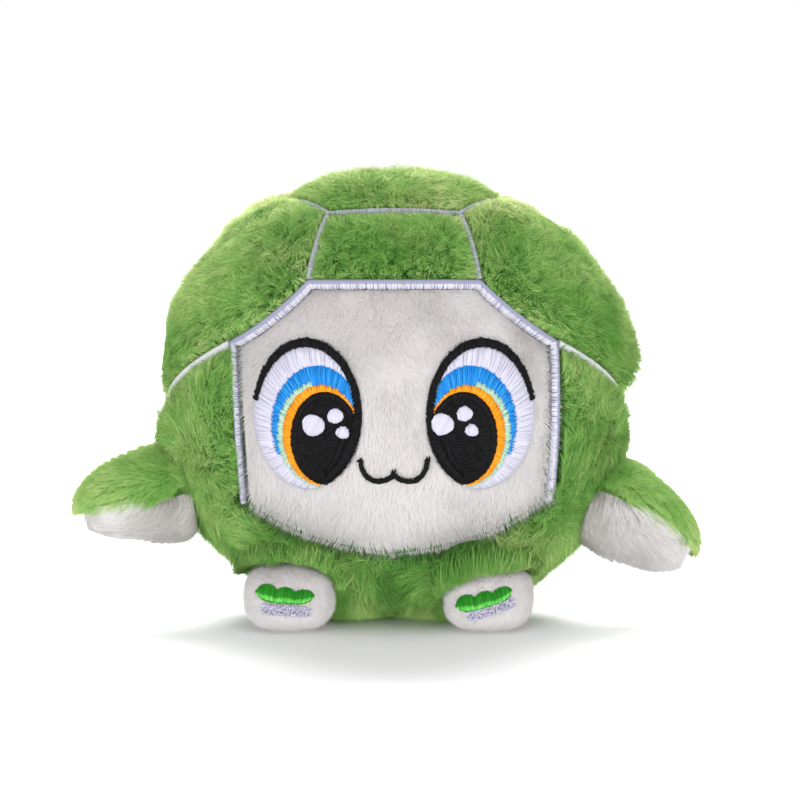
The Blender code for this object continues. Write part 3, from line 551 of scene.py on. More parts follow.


# Piles: tones at the root, darker as painted shade deep in the pile, and at the tip, roughness, sheen and its
# tint.
# Threads: tones, roughness, sheen, shine, and the painted shade along a stitch
LOOKS = (
    ("green_pile", pile_material, ((36, 84, 22), (78, 124, 50), (132, 152, 84)),
     ((82, 148, 54), (144, 192, 98), (226, 234, 168)), 0.75, 0.5, (225, 240, 150)),
    ("white_pile", pile_material, ((150, 146, 140), (206, 202, 201), (226, 221, 221)),
     ((182, 179, 175), (230, 226, 226), (253, 248, 249)), 0.8, 0.2, (255, 250, 250)),
    # green cloth darker than its pile: painted shade under the strands
    ("green_cloth", cloth_material, (38, 84, 24), (60, 112, 38)),
    ("white_cloth", cloth_material, (206, 200, 196), (224, 219, 216)),
    ("foam", porous_material, (226, 214, 168), (244, 236, 204), 900.0),
    ("stuffing", porous_material, (222, 222, 220), (246, 246, 244), 400.0),
    # shell seams: darker at both ends of each stitch, painted shade where it sinks into the pile
    ("shell_thread", thread_material, ((136, 141, 140), (154, 157, 165), (176, 178, 186)), 0.65, 0.0, 0.15,
     ((0.0, grey(0.85)), (0.5, grey(1)), (1.0, grey(0.85)))),
    # face border: dark lavender on its outer, green side and white on the face side, painted shade under the
    # overhanging pile
    ("border_thread", thread_material, ((178, 177, 188), (194, 193, 203), (206, 205, 213)), 0.65, 0.0, 0.12,
     ((0.0, (0.33, 0.38, 0.4)), (0.3, (0.4, 0.42, 0.5)), (0.6, (0.45, 0.46, 0.57)),
      (0.76, (0.96, 0.96, 0.98)), (1.0, grey(1)))),
    # rim seam: darker at both ends of each stitch and lavender at its lower end, painted shade
    ("rim_thread", thread_material, ((184, 186, 186), (200, 201, 202), (212, 213, 214)), 0.6, 0.0, 0.15,
     ((0.0, grey(0.85)), (0.5, grey(1)), (1.0, (0.7, 0.7, 0.78)))),
    ("black_thread", thread_material, ((6, 6, 7), (10, 10, 12), (18, 18, 21)), 0.6, 0.0, 0.12),
    ("white_thread", thread_material, ((172, 170, 186), (184, 182, 197), (196, 194, 207)), 0.75, 0.0, 0.08),
    ("blue_thread", thread_material, ((8, 96, 172), (20, 122, 196), (52, 146, 210)), 0.42, 0.15, 0.15),
    ("mint_thread", thread_material, ((124, 172, 152), (150, 186, 170), (186, 200, 178)), 0.42, 0.0, 0.15),
    ("orange_thread", thread_material, ((206, 118, 12), (222, 140, 22), (230, 158, 44)), 0.42, 0.0, 0.15),
    # toes: light at each stitch's lower end and dark green above it, painted light and shade
    ("green_thread", thread_material, ((66, 166, 56), (96, 192, 80), (130, 214, 108)), 0.6, 0.0, 0.12,
     ((0.0, grey(1)), (0.26, grey(0.85)), (0.42, (0.12, 0.33, 0.11)), (1.0, (0.09, 0.28, 0.09)))),
    ("glitter_thread", thread_material, ((160, 156, 186), (184, 181, 200), (214, 212, 222)), 0.45, 0.0, 0.2),
)
MATERIALS = {name: make(name, *values) for name, make, *values in LOOKS}


# Mesh building

class Shape:
    """Points, triangles and tone coordinates that become one object."""

    def __init__(self, centre=BALL_CENTRE):
        self.centre = centre
        self.points = []
        self.faces = []
        self.tones = []
        self.normals = []
        self.count = 0

    def add(self, points, faces, tones, normals=None):
        self.points.append(points)
        self.faces.append(faces + self.count)
        self.tones.append(tones)
        self.normals.append(normals)
        self.count += len(points)

    def make(self, name, material, node, slot=None, body="body", bend=None):
        points = np.concatenate(self.points) + self.centre
        points[:, 2] = np.maximum(points[:, 2], FLOOR_CLEAR)
        faces = np.concatenate(self.faces)
        tones = np.concatenate(self.tones)
        mesh = bpy.data.meshes.new(name)
        mesh.vertices.add(len(points))
        mesh.vertices.foreach_set("co", points.astype(np.float32).ravel())
        mesh.loops.add(faces.size)
        mesh.loops.foreach_set("vertex_index", faces.astype(np.int32).ravel())
        mesh.polygons.add(len(faces))
        mesh.polygons.foreach_set("loop_start", np.arange(0, faces.size, 3, dtype=np.int32))
        mesh.polygons.foreach_set("use_smooth", np.ones(len(faces), bool))
        layer = mesh.uv_layers.new(name="OFBake")
        layer.data.foreach_set("uv", tones[faces.ravel()].astype(np.float32).ravel())
        mesh.update(calc_edges=True)
        if self.normals[0] is not None:
            mesh.normals_split_custom_set_from_vertices(np.concatenate(self.normals).astype(np.float32))
        mesh.materials.append(MATERIALS[material])
        return place_piece(name, mesh, node, body, bend)


def place_piece(name, mesh, node, body, bend=None):
    """Link a piece to its body; one with a bend is not attached, only its transform is baked."""
    piece = bpy.data.objects.new(name, mesh)
    bpy.context.scene.collection.objects.link(piece)
    if bend:
        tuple(bend[0])
        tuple(bend[1])
        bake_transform(piece)
    else:
        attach(piece, body)
    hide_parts(node)
    return piece


def add_strands(shape, roots, mids, tips, widths, out, tone, softness, rng):
    """Tapered three-sided strands, bent at the middle; without mids they are straight."""
    axis = unit(tips - roots)
    side = unit(np.cross(axis, rng.normal(size=axis.shape)))
    other = np.cross(axis, side)
    rings = [(roots, 1.0, 0.0)]
    if mids is not None:
        rings.append((mids, 0.85, 0.5))
    points, normals, along = [], [], []
    for centre, scale, share in rings:
        for k in range(3):
            angle = 2 * math.pi * k / 3
            ray = side * math.cos(angle) + other * math.sin(angle)
            points.append(centre + ray * column(widths * scale / 2))
            normals.append(unit(ray * (1 - softness) + out * softness))
            along.append(share)
    points.append(tips)
    normals.append(unit(out + axis * 0.3))
    along.append(1.0)
    each = len(points)
    pattern = []
    for ring in range(len(rings)):
        low = 3 * ring
        for k in range(3):
            after = (k + 1) % 3
            if ring == len(rings) - 1:
                pattern.append((low + k, low + after, each - 1))
            else:
                pattern += [(low + k, low + after, low + 3 + after), (low + k, low + 3 + after, low + 3 + k)]
    count = len(roots)
    faces = (np.array(pattern)[None] + np.arange(count)[:, None, None] * each).reshape(-1, 3)
    tones = np.stack(np.broadcast_arrays(column(tone), np.array(along)[None]), axis=-1)
    shape.add(
        np.stack(points, axis=1).reshape(-1, 3), faces, tones.reshape(-1, 2),
        np.stack(normals, axis=1).reshape(-1, 3))


def strand_set(rng, roots, mids, tips, out, tone, width, spread):
    """The strands' values for add_strands; each has a width of its own."""
    return {
        "roots": roots, "mids": mids, "tips": tips, "out": out, "tone": np.clip(tone, *TONE_LIMITS),
        "widths": width * rng.uniform(*spread, len(roots))}


def make_pile(name, strands, material, softness, rng, node, slot, body="body", centre=BALL_CENTRE, bend=None):
    """Turn strands into pieces, none of them too large to hand on."""
    order = np.argsort(strands["tips"][:, 1], kind="stable")
    groups = np.array_split(order, math.ceil(len(order) / MOST_STRANDS))
    for index, group in enumerate(groups):
        shape = Shape(centre)
        picked = {key: None if value is None else value[group] for key, value in strands.items()}
        add_strands(shape, **picked, softness=softness, rng=rng)
        suffix = f"_{index + 1}" if len(groups) > 1 else ""
        shape.make(f"{name}{suffix}", material, node, slot, body, bend)


THREAD_SHARES = np.array((0.0, 0.1, 0.35, 0.65, 0.9, 1.0))
THREAD_ANGLES = np.radians((-25, 35, 90, 145, 205))


def add_threads(shape, starts, ends, ups, arch, sink, tone, radius=THREAD_RADIUS):
    """Half-round stitches that rise from the cloth, arch over and go back in."""
    count = len(starts)
    run = ends - starts
    ups = unit(ups)
    side = unit(np.cross(run, ups))
    shares = THREAD_SHARES
    height = column(arch) * (1 - (2 * shares - 1) ** 2) - sink * np.abs(2 * shares - 1) ** 10
    swell = 0.6 + 0.4 * (1 - (2 * shares - 1) ** 8)
    line = starts[:, None] + run[:, None] * shares[:, None] + ups[:, None] * height[..., None]
    width = np.broadcast_to(radius, (count, 1, 1, 1)) * swell[None, :, None, None]
    flat, high = np.cos(THREAD_ANGLES)[:, None], np.sin(THREAD_ANGLES)[:, None]
    points = line[:, :, None] + (side[:, None, None] * flat + ups[:, None, None] * high) * width
    rows, columns = len(shares), len(THREAD_ANGLES)
    pattern = []
    for r in range(rows - 1):
        for c in range(columns - 1):
            a, b = r * columns + c, r * columns + c + 1
            d, e = a + columns, b + columns
            pattern += [(a, b, e), (a, e, d)]
    faces = (np.array(pattern)[None] + np.arange(count)[:, None, None] * rows * columns).reshape(-1, 3)
    tone = np.clip(tone, *TONE_LIMITS)
    tones = np.empty((count, rows, columns, 2))
    tones[..., 0], tones[..., 1] = tone[:, None, None], shares[None, :, None]
    shape.add(points.reshape(-1, 3), faces, tones.reshape(-1, 2))


def add_slab(shape, upper, lower, tone=0.3):
    """A closed slab between two grids of points."""
    rows, columns = upper.shape[:2]
    index = np.arange(rows * columns).reshape(rows, columns)
    quads = np.stack((index[:-1, :-1], index[1:, :-1], index[1:, 1:], index[:-1, 1:]), -1).reshape(-1, 4)
    border = np.concatenate((index[0, :-1], index[:-1, -1], index[-1, :0:-1], index[:0:-1, 0]))
    after = np.roll(border, -1)
    size = rows * columns
    walls = np.stack((border, after, after + size, border + size), -1)
    every = np.concatenate((quads, quads[:, ::-1] + size, walls))
    faces = np.concatenate((every[:, :3], every[:, (0, 2, 3)]))
    points = np.concatenate((upper.reshape(-1, 3), lower.reshape(-1, 3)))
    tones = np.tile((tone, 0.5), (len(points), 1))
    shape.add(points, faces, tones)


def scatter(density, accept, seed):
    """Points spread evenly over the ball's seam surface, where accept() says."""
    area = 4 * math.pi * np.prod(BALL_HALF / MM) ** (2 / 3)
    count = int(area * density)
    rng = np.random.default_rng(seed)
    index = np.arange(count) + 0.5
    z = 1 - 2 * index / count
    turn = index * math.pi * (1 + math.sqrt(5))
    flat = np.sqrt(1 - z * z)
    rays = np.stack((flat * np.cos(turn), flat * np.sin(turn), z), -1)
    rays += rng.normal(size=rays.shape) * 0.35 / math.sqrt(density) * MM / BALL_HALF[0]
    points = BALL.lift(rays)
    return points[accept(points)]


# Green pile on the ball

SHELL_BAND = 0.75 * MM
BORDER_BAND = 0.85 * MM
NOISE = {
    "lean_a": Noise(6.5 * MM, 1), "lean_b": Noise(6.5 * MM, 2), "tone": Noise(7.0 * MM, 3),
    "fine": Noise(2.2 * MM, 4), "height": Noise(5.0 * MM, 5), "wide": Noise(16 * MM, 6),
    "flow_a": Noise(11.0 * MM, 7), "flow_b": Noise(11.0 * MM, 8),
    "bump_a": Noise(4.0 * MM, 9), "bump_b": Noise(4.0 * MM, 10),
}
EDGE_SLOPE = 0.9
BUMP_SLOPE = 0.55


def drift(points, *names):
    """Vectors made of three noises."""
    return np.stack([NOISE[name](points) for name in names], -1)


def rim_names(side):
    return f"rim_fore_{side}", f"rim_aft_{side}", "rim_rear"


def seams_middle(names):
    return np.mean([SEAM[n].path(np.array([0.5]))[0] for n in names], axis=0)


def seen_shift(name):
    """How far past a seam's stitches its pile counts as full: the pile covers the chin's seam."""
    if name == "face_chin":
        return CHIN_SHIFT
    return RIM_SHIFT if name.startswith("rim_") else 0.0


def seam_borders(names, point, away=False, seen=False):
    """A function of points: for each seam their distances from it, and the way towards it."""
    edges = [SEAM[n].facing(point, away) for n in names]
    shifts = [seen_shift(n) if seen else 0.0 for n in names]
    return lambda points: [
        (edge.distance(points, seen) + shift, -edge.normal) for edge, shift in zip(edges, shifts)]


def body_borders(side, seen=False):
    """The same for a body panel: the face's seams count as one, and the rim's as one."""
    groups = [
        seam_borders(names, point, True, seen)
        for names, point in ((FACE_SEAMS, FACE_POINT), (rim_names(side), TOP_POINT))]

    def borders(points):
        found = []
        for group in groups:
            distances, towards = zip(*group(points))
            distances = np.stack(distances)
            found.append((distances.max(0), np.stack(towards)[distances.argmax(0)]))
        return found

    return borders


def nearest(found):
    return np.min(np.stack([distance for distance, _ in found]), axis=0)


def cloth_middle(rise):
    return np.maximum(rise - PILE_DEPTH, CLOTH_LEAST_RISE)


def crease_share(points):
    return 1 - BELLY_CREASE_SHARE * (1 - puff(np.abs(points[:, 0]), 0.0))


def chin_share(points):
    """How near the pile is to the face's lower seam."""
    away = SEAM["face_chin"].facing(FACE_POINT, away=True).distance(points)
    return fade(away, CHIN_REACH) * (points[:, 1] < 0)


def foot_offset(sign):
    return np.array((FEET_SHIFT_X + sign * FOOT_X, FOOT_Y, FOOT_CENTRE_HEIGHT - BALL_CENTRE[2]))


def out_of_feet(points, clear):
    """Move points that lie in a foot out to its surface."""
    for sign in SIDES.values():
        local = points - foot_offset(sign)
        inside = FOOT.rise(local) < clear
        local[inside] = FOOT.lift(local[inside], clear)
        points = np.where(column(inside), local + foot_offset(sign), points)
    return points


def tangent(vectors, out):
    return vectors - out * column(dot(vectors, out))


# Where the pile stands prouder or lies flatter: the place on the ball, how far it reaches, and how
# much, in mm
TUFTS = (
    (BALL.top, (0.0, 0.0), 14.0, -0.8),
    (BALL.side, (-1, -4.0, -7.0), 9.0, 1.8),
    (BALL.side, (-1, -4.0, 5.0), 6.0, -2.9),
    (BALL.side, (1, -4.0, 1.0), 10.0, 1.6),
    (BALL.top, (26.0, -2.0), 6.0, -2.4),
    (BALL.back, (-19.0, 31.0), 8.0, 1.4),
    (BALL.back, (20.0, 30.0), 8.0, 0.6),
    (BALL.side, (-1, -4.0, -24.0), 12.0, 1.2),
    (BALL.side, (1, -4.0, -26.0), 13.0, 1.9),
    (BALL.front, (-6.0, -35.0), 5.0, 2.6),
    (BALL.front, (7.0, -35.0), 5.0, 2.6),
    (BALL.front, (-16.0, 25.0), 5.0, 0.7),
    (BALL.front, (-31.0, 16.0), 5.0, 0.8),
    (BALL.front, (-24.0, 21.0), 4.0, -0.9),
    (BALL.front, (30.0, 19.0), 4.0, -0.9),
    (BALL.front, (-22.5, 33.0), 6.0, -3.2),
    (BALL.front, (-31.0, 26.5), 4.0, -1.6),
    (BALL.front, (23.0, 33.0), 4.5, -2.0),
    (BALL.back, (-27.0, 32.0), 7.0, 2.4),
    (BALL.front, (22.0, 26.0), 5.0, 0.7),
)


def extra_rise(points):
    total = np.zeros(len(points))
    for surface, place, reach, amount in TUFTS:
        flat = [value * MM for value in place[-2:]]
        centre = surface(*place[:-2], *flat)
        total += amount * MM * np.exp(-np.sum((points - centre) ** 2, axis=-1) / (reach * MM) ** 2)
    return total


# Painted light and shade on the belly, on both sides of its seam: how far from the seam, how wide, and how
# much lighter (painted shade in the seam's crease and by the feet, painted light on the lobes between)
BELLY_LIGHT_AND_SHADE = ((0.0 * MM, 2.2 * MM, -0.7), (6.0 * MM, 3 * MM, 0.4), (11.5 * MM, 1.5 * MM, -0.4))


def pile_light_and_shade(roots, out, crease):
    """Painted light and shade: lighter where light comes from above and behind; on the body also lighter on
    the right and near the chin and darker on the left, with painted shade in the belly's folds and low down.
    """
    top_light = np.clip(out[:, 2], 0, 1) ** 1.3
    # painted backlight on pile that faces sideways and up
    rim = fade(np.abs(out[:, 1] - 0.15), 0.7) * np.clip(0.4 + out[:, 2], 0, 1)
    tone = 0.42 * top_light + (0.12 if crease else 0.26) * rim
    if crease:
        belly = below(roots, BELLY_TOP_Z, 5 * MM) * (roots[:, 1] < 0)
        # painted light on the right side and near the chin, painted shade on the left
        tone += 0.14 * out[:, 0] + 0.12 * chin_share(roots) ** 2
        for place, reach, amount in BELLY_LIGHT_AND_SHADE:
            tone += amount * belly * np.exp(-((np.abs(roots[:, 0]) - place) / reach) ** 2)
        # painted shade low under the ball
        tone -= 0.2 * below(roots, BELLY_LOW_Z, 4 * MM)
    return tone


# Noises of random tone; the height noise, which also sets how high the pile stands, paints shade where it
# lies lower
PANEL_TONES_AND_DEPTH_SHADE = (("tone", 0.2), ("wide", 0.22), ("fine", 0.08), ("height", 0.14))
# On steep scutes, painted light in a band near the seams and painted shade further in: distance and width in
# mm, amount
FRINGE_LIGHT_AND_SHADE = ((1.4, 1.2, 0.16), (5.5, 2.5, -0.16))


def grow_green(borders, accept, rise, seed, valley, crease=False, fall=0.12, mess=1.15, spill=(0.8,),
               holds=(0.85,), length=PILE_LENGTH, base_tone=0.12, flow=0.25):
    """Clumped strands that spill over the seams and fall with gravity."""
    rng = np.random.default_rng(seed)
    clumps = scatter(CLUMPS_PER_MM2, accept, seed)
    count = len(clumps) * STRANDS_PER_CLUMP
    owner = np.repeat(np.arange(len(clumps)), STRANDS_PER_CLUMP)
    roots = BALL.lift(clumps[owner] + rng.normal(size=(count, 3)) * CLUMP_SPREAD)
    keep = accept(roots)
    roots, owner = roots[keep], owner[keep]
    count = len(roots)
    clump_random = rng.normal(size=clumps.shape)
    clump_height = rng.normal(size=len(clumps))
    clump_tone = rng.normal(size=len(clumps))

    def grow(points, lean_random, height_random, strand_length):
        out = BALL.normal(points)
        found = borders(points)
        full = puff(nearest(found), valley)
        drape = drape_share(points) if crease else np.zeros(len(points))
        chin = chin_share(points) if crease else np.zeros(len(points))
        lean = tangent(DOWN, out) * column(fall * (1 - 0.5 * drape) * (1 - 0.8 * chin))
        shade = out.copy()
        for index, (distance, toward) in enumerate(found):
            toward = unit(tangent(toward, out))
            near = 1 - puff(distance, valley)
            reach = np.broadcast_to(spill, len(found))[index]
            lean += toward * column(near * reach + (CHIN_LEAN * chin if index == 0 else 0.0))
            shade += toward * column(near * EDGE_SLOPE)
        first = unit(np.cross(out, (0.3, 0.9, 0.1)))
        second = np.cross(out, first)
        loose = 0.4 + 0.6 * full + 0.8 * chin
        for across, near_noise, far_noise, bump in (
                (first, "lean_a", "flow_a", "bump_a"), (second, "lean_b", "flow_b", "bump_b")):
            sway = NOISE[near_noise](points) * 0.5 + NOISE[far_noise](points) * flow
            lean += across * column(sway * loose)
            shade += across * column(NOISE[bump](points) * BUMP_SLOPE)
        if crease:
            middle = fade(np.abs(points[:, 0]), PANEL_SEAM_REACH) * (1 - chin)
            lean -= np.array((1.0, 0, 0)) * column(np.sign(points[:, 0]) * middle)
        lean = tangent(lean + lean_random * column(0.3 * loose) + column(drape) * (0, -0.7, -0.3), out)
        low = CLOTH_EDGE_RISE + (cloth_middle(rise) - CLOTH_EDGE_RISE) * full
        shrink = crease_share(points) if crease else 1.0
        high = np.maximum((rise + extra_rise(points)) * full * shrink, PILE_OVER_BAND)
        high += NOISE["height"](points) * 0.7 * MM * full + DRAPE_RISE * drape
        base = BALL.lift(points, low * shrink)
        strand_length = strand_length * (0.62 + 0.38 * full) * (1 + 0.8 * drape)
        mid = base + unit(out + lean * 0.35) * column(strand_length * 0.5)
        tip = mid + unit(out * 0.55 + lean) * column(strand_length * 0.5)
        excess = BALL.rise(tip) - (high + height_random * 0.5 * MM)
        excess = np.where(drape > 0, np.maximum(excess, 0), excess)
        tip -= out * column(excess) * PRESSED_TIP
        mid -= out * column(excess) * PRESSED_MID
        for (distance, toward), hold in zip(borders(tip), np.broadcast_to(holds, len(found))):
            tip -= toward * column(np.maximum(valley - distance, 0) * hold)
        return base, mid, tip, unit(shade)

    lengths = length * np.clip(1 + 0.16 * rng.normal(size=count), 0.55, 1.4)
    own_random = rng.normal(size=roots.shape)
    base, mid, tip, out = grow(
        roots, clump_random[owner] * mess + own_random * mess * 0.8,
        clump_height[owner] * 0.6 + rng.normal(size=count) * 0.8, lengths)
    _, clump_mid, clump_tip, _ = grow(
        clumps, clump_random, clump_height * 0.6, np.full(len(clumps), length))
    gather = column(rng.uniform(*CLUMP_GATHER, count))
    tip = tip + (clump_tip[owner] - tip) * gather
    mid = mid + (clump_mid[owner] - mid) * gather * 0.4
    mid, tip = out_of_feet(mid, 0.1 * MM), out_of_feet(tip, 0.3 * MM)
    # random tone, with painted shade where the pile lies lower
    tone = base_tone + sum(weight * NOISE[name](roots) for name, weight in PANEL_TONES_AND_DEPTH_SHADE)
    tone += 0.1 * clump_tone[owner] + 0.16 * rng.normal(size=count)
    # painted light from above and behind, and on the body painted shade in its folds
    tone += pile_light_and_shade(roots, BALL.normal(roots), crease)
    # on the scutes, painted light near the seams and painted shade further in
    if not crease:
        away = nearest(borders(roots)) / MM
        steep = np.clip(1.2 - BALL.normal(roots)[:, 2], 0, 1)
        for place, reach, amount in FRINGE_LIGHT_AND_SHADE:
            tone += steep * amount * np.exp(-((away - place) / reach) ** 2)
    return strand_set(rng, base, mid, tip, out, tone, PILE_WIDTH, GREEN_WIDTHS)


def gather_locks(base, mid, tip, cell, share):
    """Draw neighbouring strands together into locks."""
    place = base + drift(base, "lean_a", "lean_b", "fine") * cell
    _, owner = np.unique(np.floor(place / cell).astype(int), axis=0, return_inverse=True)
    owner = owner.ravel()
    size = np.bincount(owner)
    for points, pull in ((mid, share * 0.4), (tip, share)):
        if points is not None:
            middle = np.stack([np.bincount(owner, points[:, k]) for k in range(3)], -1) / column(size)
            points += (middle[owner] - points) * pull


def outside_feet(points):
    clear = np.ones(len(points), bool)
    for sign in SIDES.values():
        clear &= FOOT.rise(points - foot_offset(sign)) > -1.0 * MM
    return clear


DRAPE_REACH = 7.0 * MM
DRAPE_RISE = 2.6 * MM
DRAPE_STRANDS = 6500
DRAPE_LINES = {
    "left": (np.array((-9.6, -7.9, 0.4, 5.9, 9.6)) * MM, np.array((10.2, 11.0, 12.2, 10.8, 6.4)) * MM),
    "right": (np.array((-9.6, -8.9, -2.5, 8.6, 9.6)) * MM, np.array((5.4, 5.8, 9.5, 11.0, 10.8)) * MM),
}


def drape_share(points):
    """How much the pile falls over a foot that lies close by."""
    rises = [FOOT.rise(points - foot_offset(sign)) for sign in SIDES.values()]
    return fade(np.min(rises, axis=0), DRAPE_REACH) * (points[:, 1] < 0)


def ball_surface(cuts):
    """An even quad sphere on the seam surface."""
    mesh = bmesh.new()
    bmesh.ops.create_cube(mesh, size=2)
    bmesh.ops.subdivide_edges(mesh, edges=mesh.edges[:], cuts=cuts, use_grid_fill=True)
    for vert in mesh.verts:
        vert.co = Vector(BALL.lift(np.array([math.tan(c * math.pi / 4) for c in vert.co])))
    return mesh


def all_points(verts):
    return np.array([vert.co for vert in verts])


def set_points(verts, points):
    for vert, point in zip(verts, points):
        vert.co = point


def thicken(mesh, inner, outer):
    """Close an open patch: its own points and a copy of them are both moved."""
    started = mesh.verts[:]
    grown = bmesh.ops.extrude_face_region(mesh, geom=mesh.faces[:])["geom"]
    lifted = [item for item in grown if isinstance(item, bmesh.types.BMVert)]
    set_points(lifted, outer(all_points(lifted)))
    set_points(started, inner(all_points(started)))


def make_cloth(name, mesh, material, node, centre=BALL_CENTRE, body="body"):
    """Finish a closed cloth form as a smooth-shaded piece."""
    bmesh.ops.remove_doubles(mesh, verts=mesh.verts[:], dist=0.001 * MM)
    bmesh.ops.recalc_face_normals(mesh, faces=mesh.faces[:])
    points = all_points(mesh.verts) + centre
    points[:, 2] = np.maximum(points[:, 2], FLOOR_CLEAR)
    set_points(mesh.verts, points)
    data = bpy.data.meshes.new(name)
    mesh.to_mesh(data)
    mesh.free()
    data.shade_smooth()
    data.set_sharp_from_angle(angle=math.radians(50))
    data.materials.append(MATERIALS[material])
    place_piece(name, data, node, body)


BALL_CUTS = 31


def cut_patch(seams, keep):
    """The part of the ball's surface where keep() holds, cut cleanly along the seams."""
    mesh = ball_surface(BALL_CUTS)
    for seam in seams:
        geometry = mesh.verts[:] + mesh.edges[:] + mesh.faces[:]
        point = seam.normal * (seam.offset + GAP / 2)
        bmesh.ops.bisect_plane(
            mesh, geom=geometry, dist=0.01 * MM, plane_co=Vector(point), plane_no=Vector(seam.normal))
    middles = np.array([face.calc_center_median() for face in mesh.faces])
    wanted = keep(middles)
    unwanted = [face for face, ok in zip(mesh.faces, wanted) if not ok]
    bmesh.ops.delete(mesh, geom=unwanted, context="FACES")
    return mesh


def cloth_rise(points, borders, rise, crease, valley):
    full = puff(nearest(borders(points)), valley)
    low = CLOTH_EDGE_RISE + (cloth_middle(rise) - CLOTH_EDGE_RISE) * full
    low = low * crease_share(points) if crease else low
    return low + NOISE["height"](points) * 0.3 * MM * full


def make_green_panel(name, seams, borders, seen_borders, rise, margin, seed, crease=False, extra=None,
                     **growth):
    """One sewn panel: its padded cloth and its pile."""
    def inside(points, clear=GAP / 2, edges=borders):
        good = nearest(edges(points)) > clear
        return good & extra(points) if extra else good

    def takes_root(points):
        good = inside(points, margin, seen_borders) & outside_feet(points)
        return good & inside(points, GAP) if crease else good

    valley = margin + GAP
    mesh = cut_patch(seams, inside)
    thicken(
        mesh, lambda p: BALL.lift(p, -PANEL_DEPTH),
        lambda p: BALL.lift(p, cloth_rise(p, borders, rise, crease, valley)))
    make_cloth(f"{name}_cloth", mesh, "green_cloth", name)
    strands = grow_green(seen_borders, takes_root, rise, seed, valley, crease=crease, **growth)
    make_pile(f"{name}_pile", strands, "green_pile", 0.42, np.random.default_rng(seed), name, "green_plush")


BODY_PILE_LENGTH = 6.0 * MM
SCUTE_TONE = 0.12
# Base tones of the scutes; the rear ones are lighter, painted backlight through their pile
SCUTE_TONES_AND_BACKLIGHT = {
    "scute_top": 0.04, "scute_front_left": 0.22, "scute_front_right": 0.22, "scute_rear_left": 0.5,
    "scute_rear_right": 0.5}
BODY_EDGES = {
    "left": {"spill": (1.3, 0.8), "holds": (0.1, 0.85)},
    "right": {"spill": (0.2, 0.8), "holds": (0.95, 0.85)},
}


def make_green():
    for index, (name, names) in enumerate(SCUTES.items()):
        middle = seams_middle(names)
        make_green_panel(
            name, [SEAM[n].facing(middle) for n in names], seam_borders(names, middle),
            seam_borders(names, middle, seen=True), SCUTE_RISES[name], SHELL_BAND, 100 + 10 * index,
            base_tone=SCUTE_TONES_AND_BACKLIGHT.get(name, SCUTE_TONE))
    for side, sign in SIDES.items():
        seams = [SEAM[n].facing(FACE_POINT, away=True) for n in FACE_SEAMS]
        seams += [SEAM[n].facing(TOP_POINT, away=True) for n in rim_names(side)]
        seams.append(Seam(TOP_POINT, FACE_POINT).facing(BALL.side(sign, 0, 0)))
        make_green_panel(
            f"body_panel_{side}", seams, body_borders(side), body_borders(side, seen=True), GREEN_PILE_RISE,
            BORDER_BAND, 300 + 50 * sign, crease=True, extra=lambda p, s=sign: s * p[:, 0] > GAP / 2,
            fall=0.65, mess=0.8, base_tone=0.2, flow=0.6, length=BODY_PILE_LENGTH, **BODY_EDGES[side])
        make_drape(side, sign)


DRAPE_SPAN = (-1.12, 0.95)
DRAPE_TIP_RISES = (0.3, 1.8)
DRAPE_LINE_SPREAD = 0.35 * MM
DRAPE_CLIMB = 3.0 * MM
DRAPE_ROOT_RISE = -0.5 * MM
DRAPE_LOCK_SHARE = 0.55
DRAPE_EDGE = 0.97


def make_drape(side, sign):
    """Long strands of the belly's pile that lie over the top of a foot."""
    rng = np.random.default_rng(380 + sign)
    offset = foot_offset(sign)
    count = DRAPE_STRANDS
    across = rng.uniform(*DRAPE_SPAN, count) * FOOT_HALF[0] * sign
    low = np.interp(across, *DRAPE_LINES[side]) - FOOT_CENTRE_HEIGHT
    low += 0.5 * MM * NOISE["fine"](np.stack((across, low, low), -1) + offset)
    low += rng.normal(size=count) * DRAPE_LINE_SPREAD
    low += rng.random(count) ** 2 * DRAPE_CLIMB
    edge = np.clip(across / FOOT_HALF[0], -DRAPE_EDGE, DRAPE_EDGE)
    top = FOOT_HALF[2] * (1 - np.abs(edge) ** SoftBox.POWER) ** (1 / SoftBox.POWER)
    front = FOOT.front(edge * FOOT_HALF[0], np.minimum(low, DRAPE_EDGE * top))
    tips = FOOT.lift(front, rng.uniform(*DRAPE_TIP_RISES, count) * MM) + offset
    tips[:, 0] += (rng.normal(size=count) * 0.9 + NOISE["bump_a"](tips) * 1.6) * MM
    start_height = top + (0.2 + 3.4 * rng.random(count)) * MM
    start = np.stack((across * 1.05, np.zeros(count), start_height), -1) + offset
    roots = BALL.lift(BALL.front(start[:, 0], start[:, 2]), DRAPE_ROOT_RISE)
    out = unit(BALL.normal(roots) * (0.3, 1.0, 1.0) + (0, -0.5, 0.6))
    bulge = (0.1 + 1.5 * rng.random(count)) * MM + 0.9 * MM * NOISE["bump_b"](roots)
    bulge = bulge * (1 - 0.7 * np.abs(edge) ** 3)
    mids = (roots * 0.45 + tips * 0.55) + out * column(bulge) + rng.normal(size=out.shape) * 0.9 * MM
    gather_locks(roots, mids, tips, LOCK_CELL, DRAPE_LOCK_SHARE)
    mids, tips = out_of_feet(mids, 0.8 * MM), out_of_feet(tips, 0.2 * MM)
    out = unit(out + 0.9 * drift(tips, "bump_a", "lean_a", "bump_b"))
    # the last term is painted light on strands that face up
    tone = (0.3 + 0.2 * NOISE["tone"](roots) + 0.26 * NOISE["fine"](tips) + 0.2 * rng.normal(size=count)
            + 0.2 * np.clip(out[:, 2], 0, 1))
    strands = strand_set(rng, roots, mids, tips, out, tone, PILE_WIDTH, GREEN_WIDTHS)
    make_pile(f"body_drape_{side}", strands, "green_pile", 0.38, rng, f"body_panel_{side}", "green_plush")


# Face

